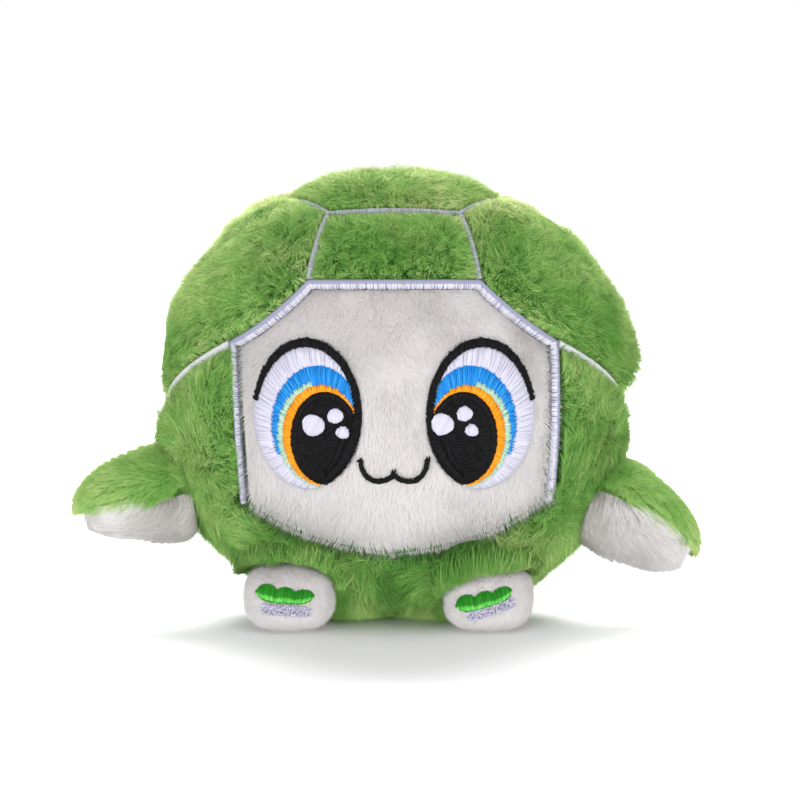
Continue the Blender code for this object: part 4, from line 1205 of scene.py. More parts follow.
def ellipse_reach(angle, ellipse, shrink=0.0):
    """Distance from the pupil's centre to a shifted ellipse, at each angle."""
    shift_x, shift_z, half_width, half_height = ellipse
    half_width, half_height = half_width - shrink, half_height - shrink
    run = (np.cos(angle) / half_width, np.sin(angle) / half_height)
    start = (shift_x / half_width, shift_z / half_height)
    a = run[0] ** 2 + run[1] ** 2
    b = run[0] * start[0] + run[1] * start[1]
    c = start[0] ** 2 + start[1] ** 2 - 1
    return (b + np.sqrt(np.maximum(0.0, b * b - a * c))) / a


def in_range(angle, limits):
    return (angle - limits[0]) % (2 * math.pi) <= limits[1] - limits[0]


def eye_edge(angle):
    return ellipse_reach(angle, EYE_ELLIPSE)


def outline_bound(angle):
    turned = (angle - OUTLINE_ANGLES[0]) % (2 * math.pi) + OUTLINE_ANGLES[0]
    return eye_edge(angle) - np.interp(turned, OUTLINE_ANGLES, OUTLINE_WIDTHS)


def outline_inner(angle):
    return np.where(in_range(angle, OUTLINE_RANGE), outline_bound(angle), eye_edge(angle))


def eye_place(sign, angle, reach, rise):
    x = sign * PUPIL_X - sign * reach * np.cos(angle)
    return BALL.lift(BALL.front(x, PUPIL_Z + reach * np.sin(angle)), rise)


def mouth_path(steps):
    middle = MOUTH_HALF_WIDTH / 2
    points = []
    for sign in (-1, 1):
        angle = np.linspace(0, math.pi, steps)
        inner_end = np.where(angle < math.pi / 2, MOUTH_PEAK_Z, MOUTH_CORNER_Z)
        x = sign * (middle - middle * np.cos(angle))
        z = inner_end - (inner_end - MOUTH_LOW_Z) * np.sin(angle)
        arc = np.stack((x, z), -1)
        points.append(arc[::-1] if sign < 0 else arc[1:])
    return np.concatenate(points)


MOUTH = mouth_path(24)


def off_embroidery(points, clear):
    free = np.ones(len(points), bool)
    for sign in SIDES.values():
        x = -sign * (points[:, 0] - sign * PUPIL_X)
        z = points[:, 2] - PUPIL_Z
        free &= np.hypot(x, z) > eye_edge(np.arctan2(z, x)) + clear
    flat = points[:, (0, 2)]
    away = np.min(np.linalg.norm(flat[:, None] - MOUTH[None], axis=-1), axis=1)
    return free & (away > MOUTH_THREAD_RADIUS * 0.7)


FACE_STRANDS_PER_MM2 = 20.0
FACE_PAST_SEAM = 1.4 * MM
FACE_LOCK_SHARE = 0.35


def make_face():
    facing = [SEAM[n].facing(FACE_POINT) for n in FACE_SEAMS]

    def edge_distance(points, seen=False):
        return np.min([edge.distance(points, seen) for edge in facing], axis=0)

    def in_front(points):
        past = edge_distance(points) > -FACE_PAST_SEAM
        return (points[:, 1] < 0) & past & (edge_distance(points, seen=True) > 0.15 * MM)

    mesh = cut_patch(facing, lambda p: edge_distance(p) > GAP / 2)
    thicken(
        mesh, lambda p: BALL.lift(p, -PANEL_DEPTH),
        lambda p: BALL.lift(p, FACE_CLOTH_RISE + NOISE["height"](p) * 0.15 * MM))
    make_cloth("face_cloth", mesh, "white_cloth", "face_panel")

    rng = np.random.default_rng(40)
    roots = scatter(FACE_STRANDS_PER_MM2, in_front, 41)
    roots = roots[off_embroidery(roots, 0.1 * MM)]
    count = len(roots)
    out = BALL.normal(roots)
    first = unit(np.cross((0, 0, 1.0), out))
    wander = NOISE["lean_a"](roots) * 0.5 + NOISE["fine"](roots) * 0.4 + rng.normal(size=count) * 0.3
    chin = fade(SEAM["face_chin"].facing(FACE_POINT).distance(roots), CHIN_FRINGE_REACH)
    lean = tangent(DOWN, out) * column(0.7 + 0.3 * NOISE["lean_b"](roots)) + first * column(wander)
    lean = unit(lean) * column(1 + 0.6 * chin)
    base = BALL.lift(roots, FACE_CLOTH_RISE)
    length = FACE_PILE_LENGTH * rng.uniform(0.8, 1.2, count) * (1 + 0.9 * chin * rng.random(count))
    tips = base + unit(out * 0.9 + lean) * column(length)
    gather_locks(base, None, tips, LOCK_CELL * 0.7, FACE_LOCK_SHARE)
    high = FACE_PILE_RISE + NOISE["height"](roots) * 0.15 * MM + NOISE["fine"](roots) * 0.1 * MM
    high += rng.normal(size=count) * 0.12 * MM
    edge = edge_distance(roots, seen=True)
    high += FACE_EDGE_RISE * fade(edge, FACE_EDGE_REACH) ** 2 + CHIN_FRINGE_RISE * chin
    side = np.min([SEAM[f"face_side_{s}"].facing(FACE_POINT).distance(roots) for s in SIDES], axis=0)
    high += FACE_SIDE_RISE * np.clip(1 - side / FACE_SIDE_REACH, 0, 2)
    tips -= out * column(BALL.rise(tips) - high)
    # painted light on the lower face and painted shade just above the chin, under the green pile
    lower = below(roots, FACE_LIGHT_TOP_Z, FACE_LIGHT_REACH)
    tone = 0.42 + 0.34 * lower - 0.1 * below(roots, FACE_CHIN_SHADE_Z, 4 * MM) + 0.12 * NOISE["tone"](roots)
    tone += 0.12 * NOISE["lean_a"](roots) + 0.08 * NOISE["fine"](roots) + 0.12 * rng.normal(size=count)
    strands = strand_set(rng, base, None, tips, out, tone, FACE_PILE_WIDTH, WHITE_WIDTHS)
    make_pile("face_pile", strands, "white_pile", 0.7, rng, "face_panel", "white_plush")


# The eyes' embroidery: the rises where threads go in, where beds and threads lie and how high threads
# arch, then the lengths, slant and tones of the stitches
EYE_LOW = -3.0 * MM
EYE_BED = -1.18 * MM
EYE_THREAD = -1.15 * MM
GLINT_LOW = -1.2 * MM
GLINT_BED = -0.7 * MM
GLINT_THREAD = -0.75 * MM
GLINT_ARCH = 0.45 * MM
PUPIL_BED = EYE_BED + 0.15 * MM
PUPIL_THREAD = -0.95 * MM
PUPIL_ARCH = 0.08 * MM
PUPIL_SLANT = math.radians(12)
PUPIL_STITCH = 2.8 * MM
PUPIL_EDGE = 1.5 * MM
FILL_SINK = 0.5 * MM
FILL_FULL_LENGTH = 1.5 * MM
FILL_TONES = (0.5, 0.22)
CHORD_SINK = 0.3 * MM
CHORD_FULL_LENGTH = 2.5 * MM
FULL_TURN = (0, 2 * math.pi)
BED_COLUMNS = 60


def add_bed(shape, sign, limits, reach_at, rows, rise, tone):
    """The closed slab under stitches, whose reach depends on the angle and the share of the way out."""
    angle, share = np.meshgrid(np.linspace(*limits, BED_COLUMNS), np.linspace(0, 1, rows), indexing="ij")
    reach = reach_at(angle, share)
    if sign > 0:
        angle, reach = angle[::-1], reach[::-1]
    add_slab(shape, eye_place(sign, angle, reach, rise), eye_place(sign, angle, reach, EYE_LOW), tone)


def add_fill(shape, sign, limits, inner, outer, rng, jag_in, jag_out, arch):
    """Radial satin stitches between two reaches."""
    steps = np.linspace(*limits, 200)
    length = np.cumsum((0.15 * inner(steps) + 0.85 * outer(steps)) * np.gradient(steps))
    count = max(8, int((length[-1] - length[0]) / FINE_PITCH))
    along = np.linspace(length[0], length[-1], count)
    angles = np.interp(along, length, steps) + rng.normal(size=count) * 0.006
    low = inner(angles) - rng.uniform(0, jag_in, count) * MM
    high = outer(angles) + rng.uniform(-0.2, 1.0, count) * (jag_out * MM)
    starts = eye_place(sign, angles, low, EYE_THREAD)
    ends = eye_place(sign, angles + rng.normal(size=count) * 0.01, high, EYE_THREAD)
    ups = BALL.normal((starts + ends) / 2)
    lift = arch * MM * (0.9 + 0.2 * rng.random(count)) * np.clip((high - low) / FILL_FULL_LENGTH, 0.4, 1)
    tone = rng.normal(*FILL_TONES, count)
    add_threads(shape, starts, ends, ups, lift, FILL_SINK, tone, radius=FINE_RADIUS)


def eye_layer(under, ellipse, margin, limits=FULL_TURN):
    """A fill's outer reach: its ellipse inside the outline, yet always past the fill under it."""
    def reach(angle):
        low = under(angle)
        found = np.minimum(ellipse_reach(angle, ellipse), outline_inner(angle))
        return np.where(in_range(angle, limits), np.maximum(found, low + margin), low)

    return reach


def pupil_reach(angle):
    return np.minimum(ellipse_reach(angle, PUPIL_ELLIPSE), outline_inner(angle))


def pupil_middle(angle):
    return pupil_reach(angle) - PUPIL_EDGE


orange_reach = eye_layer(pupil_reach, ORANGE_ELLIPSE, 0.3 * MM)
mint_reach = eye_layer(orange_reach, MINT_ELLIPSE, 0.35 * MM, MINT_RANGE)
blue_reach = eye_layer(mint_reach, BLUE_ELLIPSE, 0.2 * MM, BLUE_RANGE)


def white_reach(angle):
    return np.maximum(outline_inner(angle), blue_reach(angle) + 0.3 * MM)


# Name, thread, range, inner and outer reach; raggedness of both edges and the stitches' arch, in mm
EYE_FILLS = (
    ("eye_white", "white_thread", WHITE_RANGE, blue_reach, white_reach, 0.1, 0.15, 0.18),
    ("iris_blue", "blue_thread", BLUE_RANGE, mint_reach, blue_reach, 0.1, 0.6, 0.26),
    ("iris_mint", "mint_thread", MINT_RANGE, orange_reach, mint_reach, 0.1, 0.6, 0.26),
    ("iris_orange", "orange_thread", ORANGE_RANGE, pupil_reach, orange_reach, 0.1, 0.55, 0.3),
    ("eye_outline", "black_thread", OUTLINE_RANGE, outline_bound, eye_edge, 0.45, 0.35, 0.34),
)


def make_eye(side, sign):
    for index, (name, material, limits, inner, outer, *ragged) in enumerate(EYE_FILLS):
        shape = Shape()
        add_fill(shape, sign, limits, inner, outer, np.random.default_rng(500 + index), *ragged)
        add_bed(
            shape, sign, limits, lambda a, s, i=inner, o=outer: i(a) + (o(a) - i(a)) * s, 4, EYE_BED, 0.35)
        shape.make(f"{name}_thread_{side}", material, f"{name}_{side}")
    make_pupil(side, sign)
    make_glints(side, sign)


def on_ball(places, rise):
    """Points of the ball's front over places given by x and z."""
    return BALL.lift(BALL.front(places[..., 0], places[..., 1]), rise)


def chord_threads(shape, centre, radii, slant, arch, rise, rng, tones, stitch=0.0):
    """Parallel stitches that fill an outline given by its reach at each angle."""
    direction = np.array((math.cos(slant), math.sin(slant)))
    across = np.array((-direction[1], direction[0]))
    angles = np.linspace(0, 2 * math.pi, 361)
    ring = np.stack((np.cos(angles), np.sin(angles)), -1) * column(radii(angles))
    reach = ring @ across
    starts, ends = [], []
    for place in np.arange(reach.min() + THREAD_PITCH / 2, reach.max(), THREAD_PITCH):
        sides = np.flatnonzero(np.diff(np.sign(reach - place)))
        if len(sides) < 2:
            continue
        found = np.sort(ring[sides] @ direction)
        low, high = found[0] + rng.uniform(-0.12, 0.05) * MM, found[-1] + rng.uniform(-0.05, 0.12) * MM
        cuts = [low]
        if stitch:
            cut = low + stitch * rng.uniform(0.3, 1.0)
            while cut < high - stitch * 0.35:
                cuts.append(cut)
                cut += stitch * rng.uniform(0.9, 1.1)
        cuts.append(high)
        starts += [centre + direction * cut + across * place for cut in cuts[:-1]]
        ends += [centre + direction * cut + across * place for cut in cuts[1:]]
    first, last = on_ball(np.array(starts), rise), on_ball(np.array(ends), rise)
    length = np.linalg.norm(last - first, axis=-1)
    lift = arch * np.clip(length / CHORD_FULL_LENGTH, 0.25, 1) * rng.uniform(0.85, 1.1, len(length))
    ups = BALL.normal((first + last) / 2)
    add_threads(shape, first, last, ups, lift, CHORD_SINK, rng.normal(*tones, len(length)))


def make_pupil(side, sign):
    rng = np.random.default_rng(520)
    shape = Shape()
    add_fill(shape, sign, FULL_TURN, pupil_middle, pupil_reach, rng, 0.2, 0.35, 0.22)
    add_bed(
        shape, sign, FULL_TURN, lambda a, s: pupil_middle(a) + (pupil_reach(a) - pupil_middle(a)) * s, 4,
        EYE_BED, 0.35)
    chord_threads(
        shape, np.array((sign * PUPIL_X, PUPIL_Z)),
        lambda a: pupil_middle(np.where(sign > 0, math.pi - a, a)) + 0.2 * MM, PUPIL_SLANT, PUPIL_ARCH,
        PUPIL_THREAD, rng, (0.35, 0.25), stitch=PUPIL_STITCH)
    add_bed(shape, sign, FULL_TURN, lambda a, s: pupil_middle(a) * s + 0.01 * MM, 5, PUPIL_BED, 0.1)
    shape.make(f"pupil_thread_{side}", "black_thread", f"pupil_{side}")


def make_glints(side, sign):
    for index, (name, x, z, radius, slant) in enumerate(GLINTS):
        shape = Shape()
        middle = np.array((sign * PUPIL_X, PUPIL_Z)) + np.array((x, z)) + GLINT_SHIFTS[side]
        chord_threads(
            shape, middle, lambda a, r=radius, k=index: r * (1 + 0.04 * np.cos(3 * a + k)),
            math.radians(slant), GLINT_ARCH, GLINT_THREAD, np.random.default_rng(530 + index), (0.55, 0.2))
        angle, share = np.meshgrid(np.linspace(*FULL_TURN, 30), np.linspace(0, 1, 3), indexing="ij")
        reach = (radius - 0.15 * MM) * share + 0.005 * MM
        places = np.stack((middle[0] + reach * np.cos(angle), middle[1] + reach * np.sin(angle)), -1)
        add_slab(shape, on_ball(places, GLINT_BED), on_ball(places, GLINT_LOW), 0.4)
        shape.make(f"glint_{name}_thread_{side}", "white_thread", f"glint_{name}_{side}")


def make_mouth():
    """Short black stitches laid slantwise along the mouth's line."""
    rng = np.random.default_rng(560)
    path = mouth_path(60)
    over_x, over_z = MOUTH_OVERRUN
    path = np.concatenate(([path[0] + (-over_x, over_z)], path, [path[-1] + (over_x, over_z)]))
    steps = np.concatenate(([0], np.cumsum(np.linalg.norm(np.diff(path, axis=0), axis=-1))))
    count = int(steps[-1] / MOUTH_PITCH)
    places = np.linspace(0, steps[-1], count)
    centre, ahead, behind = [
        np.stack([np.interp(places + shift, steps, path[:, k]) for k in (0, 1)], -1)
        for shift in (0.0, MOUTH_TURN_STEP, -MOUTH_TURN_STEP)]
    along = unit(ahead - behind)
    across = np.stack((-along[:, 1], along[:, 0]), -1)
    slant = along * MOUTH_SLANT[0] + across * MOUTH_SLANT[1]
    half = column(rng.uniform(0.75, 1.1, count) * MOUTH_HALF_STITCH)
    first, last = [on_ball(centre + way * slant * half, MOUTH_RISE) for way in (-1, 1)]
    shape = Shape()
    add_threads(
        shape, first, last, BALL.normal(first), rng.uniform(0.3, 0.45, count) * MM, MOUTH_SINK,
        rng.normal(0.4, 0.2, count), radius=MOUTH_RADIUS)
    shape.make("mouth_thread", "black_thread", "mouth_stitch")


# Satin bands

BAND_SAMPLES = 60
BAND_END_RISE = -0.2 * MM
BAND_LOW_RISE = -1.2 * MM
BAND_DOME_RISE, BAND_DOME_FALL = 0.35 * MM, 0.5 * MM
BAND_LANES = np.linspace(-1, 1, 5)
BAND_TURN_REACH = np.linspace(-1.3, 1.3, 9) * MM
BAND_PLACE_SPREAD = 0.04 * MM
BAND_TILT_SPREAD = 0.06 * MM
BAND_ARCH = 0.6
BAND_TONES = (0.5, 0.24)


def make_band(name, chain, widths, material, slot, seed, closed=False, trim=(0.0, 0.0), arch=BAND_ARCH,
              steps=0.0, ragged=0.16, sink=0.8):
    """Satin stitches across a chain of seams, with a width and a step down for each seam."""
    rng = np.random.default_rng(seed)
    line, across, sizes = [], [], []
    for seam, *size in zip(chain, np.broadcast_to(widths, len(chain)), np.broadcast_to(steps, len(chain))):
        shares = np.linspace(0, 1, BAND_SAMPLES, endpoint=False)
        line.append(seam.path(shares))
        across.append(np.tile(seam.normal, (len(shares), 1)))
        sizes.append(np.tile(size, (len(shares), 1)))
    last = chain[0] if closed else chain[-1]
    line.append(last.path(np.array([0.0 if closed else 1.0])))
    across.append(last.normal[None])
    sizes.append(sizes[0][:1] if closed else sizes[-1][:1])
    line, across, sizes = np.concatenate(line), np.concatenate(across), np.concatenate(sizes)
    places = np.concatenate(([0], np.cumsum(np.linalg.norm(np.diff(line, axis=0), axis=-1))))
    total = places[-1]
    count = int((total - trim[0] - trim[1]) / FINE_PITCH)
    where = np.linspace(trim[0], total - trim[1], count) + rng.normal(size=count) * BAND_PLACE_SPREAD

    def read(values, at):
        at = at % total if closed else np.clip(at, 0, total)
        return np.stack([np.interp(at, places, values[:, k]) for k in range(values.shape[1])], -1)

    centre = read(line, where)
    turned = unit(sum(read(across, where + s) for s in BAND_TURN_REACH))
    width, step = read(sizes, where).T
    near = column(width / 2 + rng.uniform(-0.06, 0.1, count) * MM)
    far = column(width / 2 + rng.uniform(-0.6, 1.0, count) * ragged * MM + step * 0.15)
    tilt = unit(np.gradient(centre, axis=0)) * column(rng.normal(size=count) * BAND_TILT_SPREAD)
    first = BALL.lift(centre + turned * near + tilt, BAND_END_RISE)
    final = BALL.lift(centre - turned * far - tilt, BAND_END_RISE - step)
    shape = Shape()
    lift = arch * MM * rng.uniform(0.94, 1.05, count)
    add_threads(
        shape, first, final, BALL.normal(centre), lift, sink * MM, rng.normal(*BAND_TONES, count),
        radius=FINE_RADIUS)
    bed = np.linspace(trim[0], total - trim[1], max(20, count // 4))
    middle = read(line, bed)[:, None]
    cross = unit(sum(read(across, bed + s) for s in BAND_TURN_REACH))[:, None]
    width, step = read(sizes, bed).T[:, :, None]
    lanes = BAND_LANES
    grid = middle + cross * column(width / 2 * lanes * 0.9)
    dome = BAND_DOME_RISE - BAND_DOME_FALL * lanes ** 2 - step * np.clip(-lanes, 0, 1) ** 2
    upper = BALL.lift(grid, dome + (arch - BAND_ARCH) * MM)
    lower = BALL.lift(grid, BAND_LOW_RISE - step)
    add_slab(shape, upper, lower, 0.3)
    shape.make(name.replace("stitch", "thread"), material, name, slot)


# The face border's width and the fall of its inner edge, on each seam from the left jaw to the right one
BORDER_WIDTHS = np.array((0.65, 1.5, 1.6, 1.5, 1.8)) * MM
BORDER_STEPS = np.array((0.1, 0.7, 0.7, 0.7, 0.2)) * MM
SHELL_BAND_WIDTH = 1.5 * MM
RIM_BAND_WIDTH = 1.7 * MM


def seam_chain(point, names, away=False):
    """Seams in the order they are sewn; a - before a name turns that seam about."""
    found = []
    for name in names.split():
        seam = SEAM[name.lstrip("-")].facing(point, away)
        found.append(seam.reverse() if name.startswith("-") else seam)
    return found


def make_bands():
    hexagon = seam_chain(
        TOP_POINT, "hex_front -hex_fore_right -hex_aft_right hex_rear hex_aft_left hex_fore_left")
    make_band("hexagon_stitch", hexagon, SHELL_BAND_WIDTH, "shell_thread", "seam_thread", 600, closed=True)
    radial = [f"{name}_{side}" for side in SIDES for name in ("fore", "side", "aft")]
    for index, seam in enumerate(radial):
        name, side = seam.split("_")
        make_band(
            f"{name}_scute_stitch_{side}", [SEAM[seam]], SHELL_BAND_WIDTH, "shell_thread", "seam_thread",
            611 + index, trim=(0.8 * MM, 0.7 * MM))
    border = seam_chain(
        FACE_POINT, "face_side_left face_brow_left face_top -face_brow_right -face_side_right", away=True)
    make_band(
        "face_border_stitch", border, BORDER_WIDTHS, "border_thread", "seam_thread", 630, steps=BORDER_STEPS,
        ragged=0.3, sink=0.4)
    rim = seam_chain(TOP_POINT, "rim_fore_left rim_aft_left -rim_rear -rim_aft_right -rim_fore_right")
    make_band(
        "rim_stitch", rim, RIM_BAND_WIDTH, "rim_thread", "rim_thread", 640, trim=(0.8 * MM, 0.8 * MM),
        arch=0.7)


# Feet

FOOT_PILE_DEPTH = 1.3 * MM
FOOT_STRANDS = 30000
FOOT_SEAT_CLEAR = 0.4 * MM
FOOT_FILLING_WALL = 1.2 * MM
FOOT_ROOT_CLEAR = 1.2 * MM
FOOT_FLOOR_CLEAR = 0.2 * MM
FOOT_LEAN = (0.0, -0.2, -0.5)
TOE_EDGE_LEAST = 0.3 * MM
TOE_SINK = 0.4 * MM
TOE_BED_RISES = (0.12 * MM, -1.3 * MM)
SOLE_STITCHES = 420
SOLE_PILE_FALL = 0.5 * MM
SOLE_RISE = -0.3 * MM
SOLE_SINK = 0.3 * MM
FOOT_THREAD_TONES = (0.5, 0.3)


def foot_form(shrink, cuts):
    """A foot's closed form, flat on the floor."""
    mesh = bmesh.new()
    bmesh.ops.create_cube(mesh, size=2)
    bmesh.ops.subdivide_edges(mesh, edges=mesh.edges[:], cuts=cuts, use_grid_fill=True)
    rays = np.array([[math.tan(c * math.pi / 4) for c in vert.co] for vert in mesh.verts])
    points = FOOT.lift(rays, -shrink)
    points[:, 2] = np.maximum(points[:, 2], shrink - FOOT_CENTRE_HEIGHT)
    set_points(mesh.verts, points)
    return mesh


def seat_on_ball(mesh, sign, clear):
    """Put a foot's form in its place and push what lies in the ball out of it."""
    points = all_points(mesh.verts) + foot_offset(sign)
    deep = BALL.rise(points) < clear
    points[deep] = BALL.lift(points[deep], clear)
    set_points(mesh.verts, points)


def toe_outline(share):
    """Lower and upper edge of the three-lobed toe embroidery at each share of its width."""
    place = 2 * share - 1
    low = TOE_LOW * np.sqrt(np.maximum(0.0, 1 - place ** 4))
    tops = [
        top * np.sqrt(np.maximum(0.0, 1 - ((place - middle) / half) ** 2))
        for middle, half, top in TOE_LOBE_TOPS]
    return low, np.maximum(np.max(tops, axis=0), low + TOE_EDGE_LEAST)


def sole_outline(share):
    half = SOLE_HEIGHT / 2 * (np.sqrt(np.maximum(0.0, 1 - (2 * share - 1) ** 4)) + 0.6) / 1.6
    return -half, half


def on_foot(side, centre, along, across, rise):
    """Point on a foot's front, from its place on the tilted embroidery."""
    tilt = TOE_TILT[side]
    x = centre[0] + along * math.cos(tilt) - across * math.sin(tilt)
    z = centre[1] + along * math.sin(tilt) + across * math.cos(tilt)
    return FOOT.lift(FOOT.front(x, z), np.broadcast_to(rise, np.shape(x)))


def in_outline(side, points, centre, half_width, outline):
    tilt = TOE_TILT[side]
    x, z = points[:, 0] - centre[0], points[:, 2] - centre[1]
    along = x * math.cos(tilt) + z * math.sin(tilt)
    across = z * math.cos(tilt) - x * math.sin(tilt)
    low, high = outline(np.clip((along / half_width + 1) / 2, 0, 1))
    return (points[:, 1] < 0) & (np.abs(along) < half_width) & (across > low) & (across < high)


def make_foot(side, sign):
    cover = f"foot_cover_{side}"
    mesh = foot_form(FOOT_PILE_DEPTH, 15)
    seat_on_ball(mesh, sign, FOOT_SEAT_CLEAR)
    make_cloth(f"foot_cloth_{side}", mesh, "white_cloth", cover)
    mesh = foot_form(FOOT_PILE_DEPTH + FOOT_FILLING_WALL, 9)
    seat_on_ball(mesh, sign, FOOT_SEAT_CLEAR + FOOT_FILLING_WALL)
    make_cloth(f"foot_filling_{side}", mesh, "stuffing", f"foot_stuffing_{side}")

    rng = np.random.default_rng(700)
    roots = FOOT.lift(rng.normal(size=(FOOT_STRANDS, 3)) * FOOT_HALF)
    keep = BALL.rise(roots + foot_offset(sign)) > FOOT_ROOT_CLEAR
    keep &= roots[:, 2] > -FOOT_CENTRE_HEIGHT + FOOT_FLOOR_CLEAR
    keep &= ~in_outline(side, roots, TOE_CENTRE[side], TOE_HALF_WIDTH, toe_outline)
    roots = roots[keep]
    count = len(roots)
    out = FOOT.normal(roots)
    lean = tangent(FOOT_LEAN + rng.normal(size=(count, 3)) * 0.3, out)
    lean += tangent(drift(roots, "lean_a", "lean_b", "fine"), out) * 0.25
    base = FOOT.lift(roots, -FOOT_PILE_DEPTH)
    length = rng.uniform(1.5, 2.0, count) * MM
    tips = base + unit(out + lean) * column(length)
    tips -= out * column(FOOT.rise(tips) - rng.normal(0.0, 0.16, count) * MM)
    in_sole = in_outline(side, roots, SOLE_CENTRE[side], SOLE_HALF_WIDTH, sole_outline)
    tips -= out * column(np.where(in_sole, SOLE_PILE_FALL, 0.0))
    # painted light on the lower part of the foot, painted shade on its top
    lower = np.clip(0.5 - roots[:, 2] / (2 * FOOT_HALF[2]), 0, 1)
    tone = 0.42 + 0.72 * lower + 0.15 * NOISE["fine"](roots) + 0.15 * rng.normal(size=count)
    strands = strand_set(rng, base, None, tips, out, tone, FACE_PILE_WIDTH, WHITE_WIDTHS)
    make_pile(
        f"foot_pile_{side}", strands, "white_pile", 0.6, rng, cover, "white_plush",
        centre=BALL_CENTRE + foot_offset(sign))
    make_toe(side, sign)
    make_sole(side, sign)


def make_toe(side, sign):
    centre = TOE_CENTRE[side]
    rng = np.random.default_rng(720)
    count = int(2 * TOE_HALF_WIDTH / TOE_PITCH)
    share = np.linspace(0.01, 0.99, count)
    low, high = toe_outline(share)
    low = low - rng.uniform(0, 0.2, count) * MM
    high = high + rng.uniform(-0.05, 0.18, count) * MM
    along = (2 * share - 1) * TOE_HALF_WIDTH
    slant = rng.normal(0.14, 0.05, count) * MM
    first = on_foot(side, centre, along - slant, low, 0.0)
    last = on_foot(side, centre, along + slant, high, 0.0)
    shape = Shape(BALL_CENTRE + foot_offset(sign))
    add_threads(
        shape, first, last, FOOT.normal((first + last) / 2), rng.uniform(0.38, 0.5, count) * MM, TOE_SINK,
        rng.normal(*FOOT_THREAD_TONES, count), radius=TOE_RADIUS)
    share = np.linspace(0, 1, 40)
    low, high = toe_outline(share)
    across = column(low) + column(high - low) * np.linspace(0, 1, 5)
    along = np.broadcast_to(column((2 * share - 1) * TOE_HALF_WIDTH), across.shape)
    add_slab(shape, *(on_foot(side, centre, along, across, rise) for rise in TOE_BED_RISES), 0.4)
    shape.make(f"toe_thread_{side}", "green_thread", f"toe_stitch_{side}")


def make_sole(side, sign):
    """A rough patch of short stitches in every direction."""
    rng = np.random.default_rng(740)
    count = SOLE_STITCHES
    share = rng.uniform(0.02, 0.98, count)
    low, high = sole_outline(share)
    along = (2 * share - 1) * SOLE_HALF_WIDTH
    across = low + (high - low) * rng.random(count)
    angle = rng.uniform(0, math.pi, count)
    half = rng.uniform(0.08, 0.24, count) * MM
    run, climb = half * np.cos(angle), half * np.sin(angle)
    first, last = [
        on_foot(side, SOLE_CENTRE[side], along + way * run, across + way * climb, SOLE_RISE)
        for way in (-1, 1)]
    shape = Shape(BALL_CENTRE + foot_offset(sign))
    add_threads(
        shape, first, last, FOOT.normal((first + last) / 2), rng.uniform(0.2, 0.45, count) * MM, SOLE_SINK,
        rng.normal(*FOOT_THREAD_TONES, count), radius=SOLE_RADIUS)
    shape.make(f"sole_thread_{side}", "glitter_thread", f"sole_stitch_{side}")


# Flippers

FLIPPER_ROOT = 0.8
FLIPPER_ROOT_DEPTH = 5.0 * MM
FLIPPER_SAG = {"left": 0.4 * MM, "right": 1.8 * MM}
FLIPPER_BULGE = {"left": 0.0, "right": 2.2 * MM}
FLIPPER_CREST = {"left": 1.6 * MM, "right": 0.0}
FLIPPER_PILES = {"top": (3.6 * MM, 0.4), "under": (4.8 * MM, 0.3)}
FLIPPER_BEND = (-4.0 * MM, 4.5 * MM)
FLIPPER_STRANDS = 26000
FLIPPER_STEPS = 25
FLIPPER_FILLING_STEPS = 17
FLIPPER_PROFILE_STEPS = 400


def flipper_matrix(side, sign):
    seat = BALL.side(sign, HINGE_Y, HINGE_Z[side])
    hinge = BALL_CENTRE + BALL.lift(seat, GREEN_PILE_RISE) + BALL.normal(seat) * HINGE_OUT
    droop = Matrix.Rotation(sign * FLIPPER_DROOP[side], 3, "Y")
    outward = Matrix.Rotation(0 if sign > 0 else math.pi, 3, "Z")
    roll = Matrix.Rotation(-sign * FLIPPER_ROLL[side], 3, "X")
    return hinge, np.array(droop @ outward @ roll)


def flipper_swell(share, root):
    rise = root + (1 - root) * np.sin(math.pi / 2 * np.minimum(1.0, share / FLIPPER_WIDEST_SHARE))
    past = np.maximum(0.0, share - FLIPPER_WIDEST_SHARE) / (1 - FLIPPER_WIDEST_SHARE)
    return rise * np.sqrt(np.maximum(0.0, 1 - past ** FLIPPER_TIP_POWER))


def flipper_place(share, turn, wall, root=FLIPPER_ROOT):
    """Point of the paddle at a share of its length and a turn about it, drawn in by a wall."""
    start = GAP - HINGE_OUT + wall - (FLIPPER_ROOT_DEPTH if root else 0.0)
    end = FLIPPER_LENGTH - wall
    swell = flipper_swell(share, root)
    return np.stack((
        start + (end - start) * share + turn * 0,
        np.cos(turn) * (FLIPPER_HALF_CHORD - wall) * swell,
        np.sin(turn) * (FLIPPER_HALF_THICKNESS - wall) * swell), -1)


def flipper_normal(share, turn):
    step = 1e-3
    along = flipper_place(share + step, turn, 0.0) - flipper_place(share - step, turn, 0.0)
    about = flipper_place(share, turn + step, 0.0) - flipper_place(share, turn - step, 0.0)
    return unit(np.cross(about, along))


FLIPPER_CLOTH_WALL = 1.9 * MM
FLIPPER_MANE_SHARE = 0.4
FLIPPER_MANE_LENGTH = 1.6 * MM
FLIPPER_UNDER_SHARE = 0.9


def flipper_shell(face, outer_wall, inner_wall):
    """One closed half of the paddle's cloth."""
    share = (1 - np.cos(np.linspace(0, math.pi, FLIPPER_STEPS))) / 2
    turn = np.linspace(0, math.pi, FLIPPER_STEPS) * face
    share, turn = np.meshgrid(share, turn, indexing="ij")
    shift = np.array((0, 0, face * GAP / 2))
    shape = Shape(ORIGIN)
    upper, lower = [flipper_place(share, turn, wall) + shift for wall in (outer_wall, inner_wall)]
    if face < 0:
        upper, lower = upper[:, ::-1], lower[:, ::-1]
    add_slab(shape, upper, lower)
    return shape


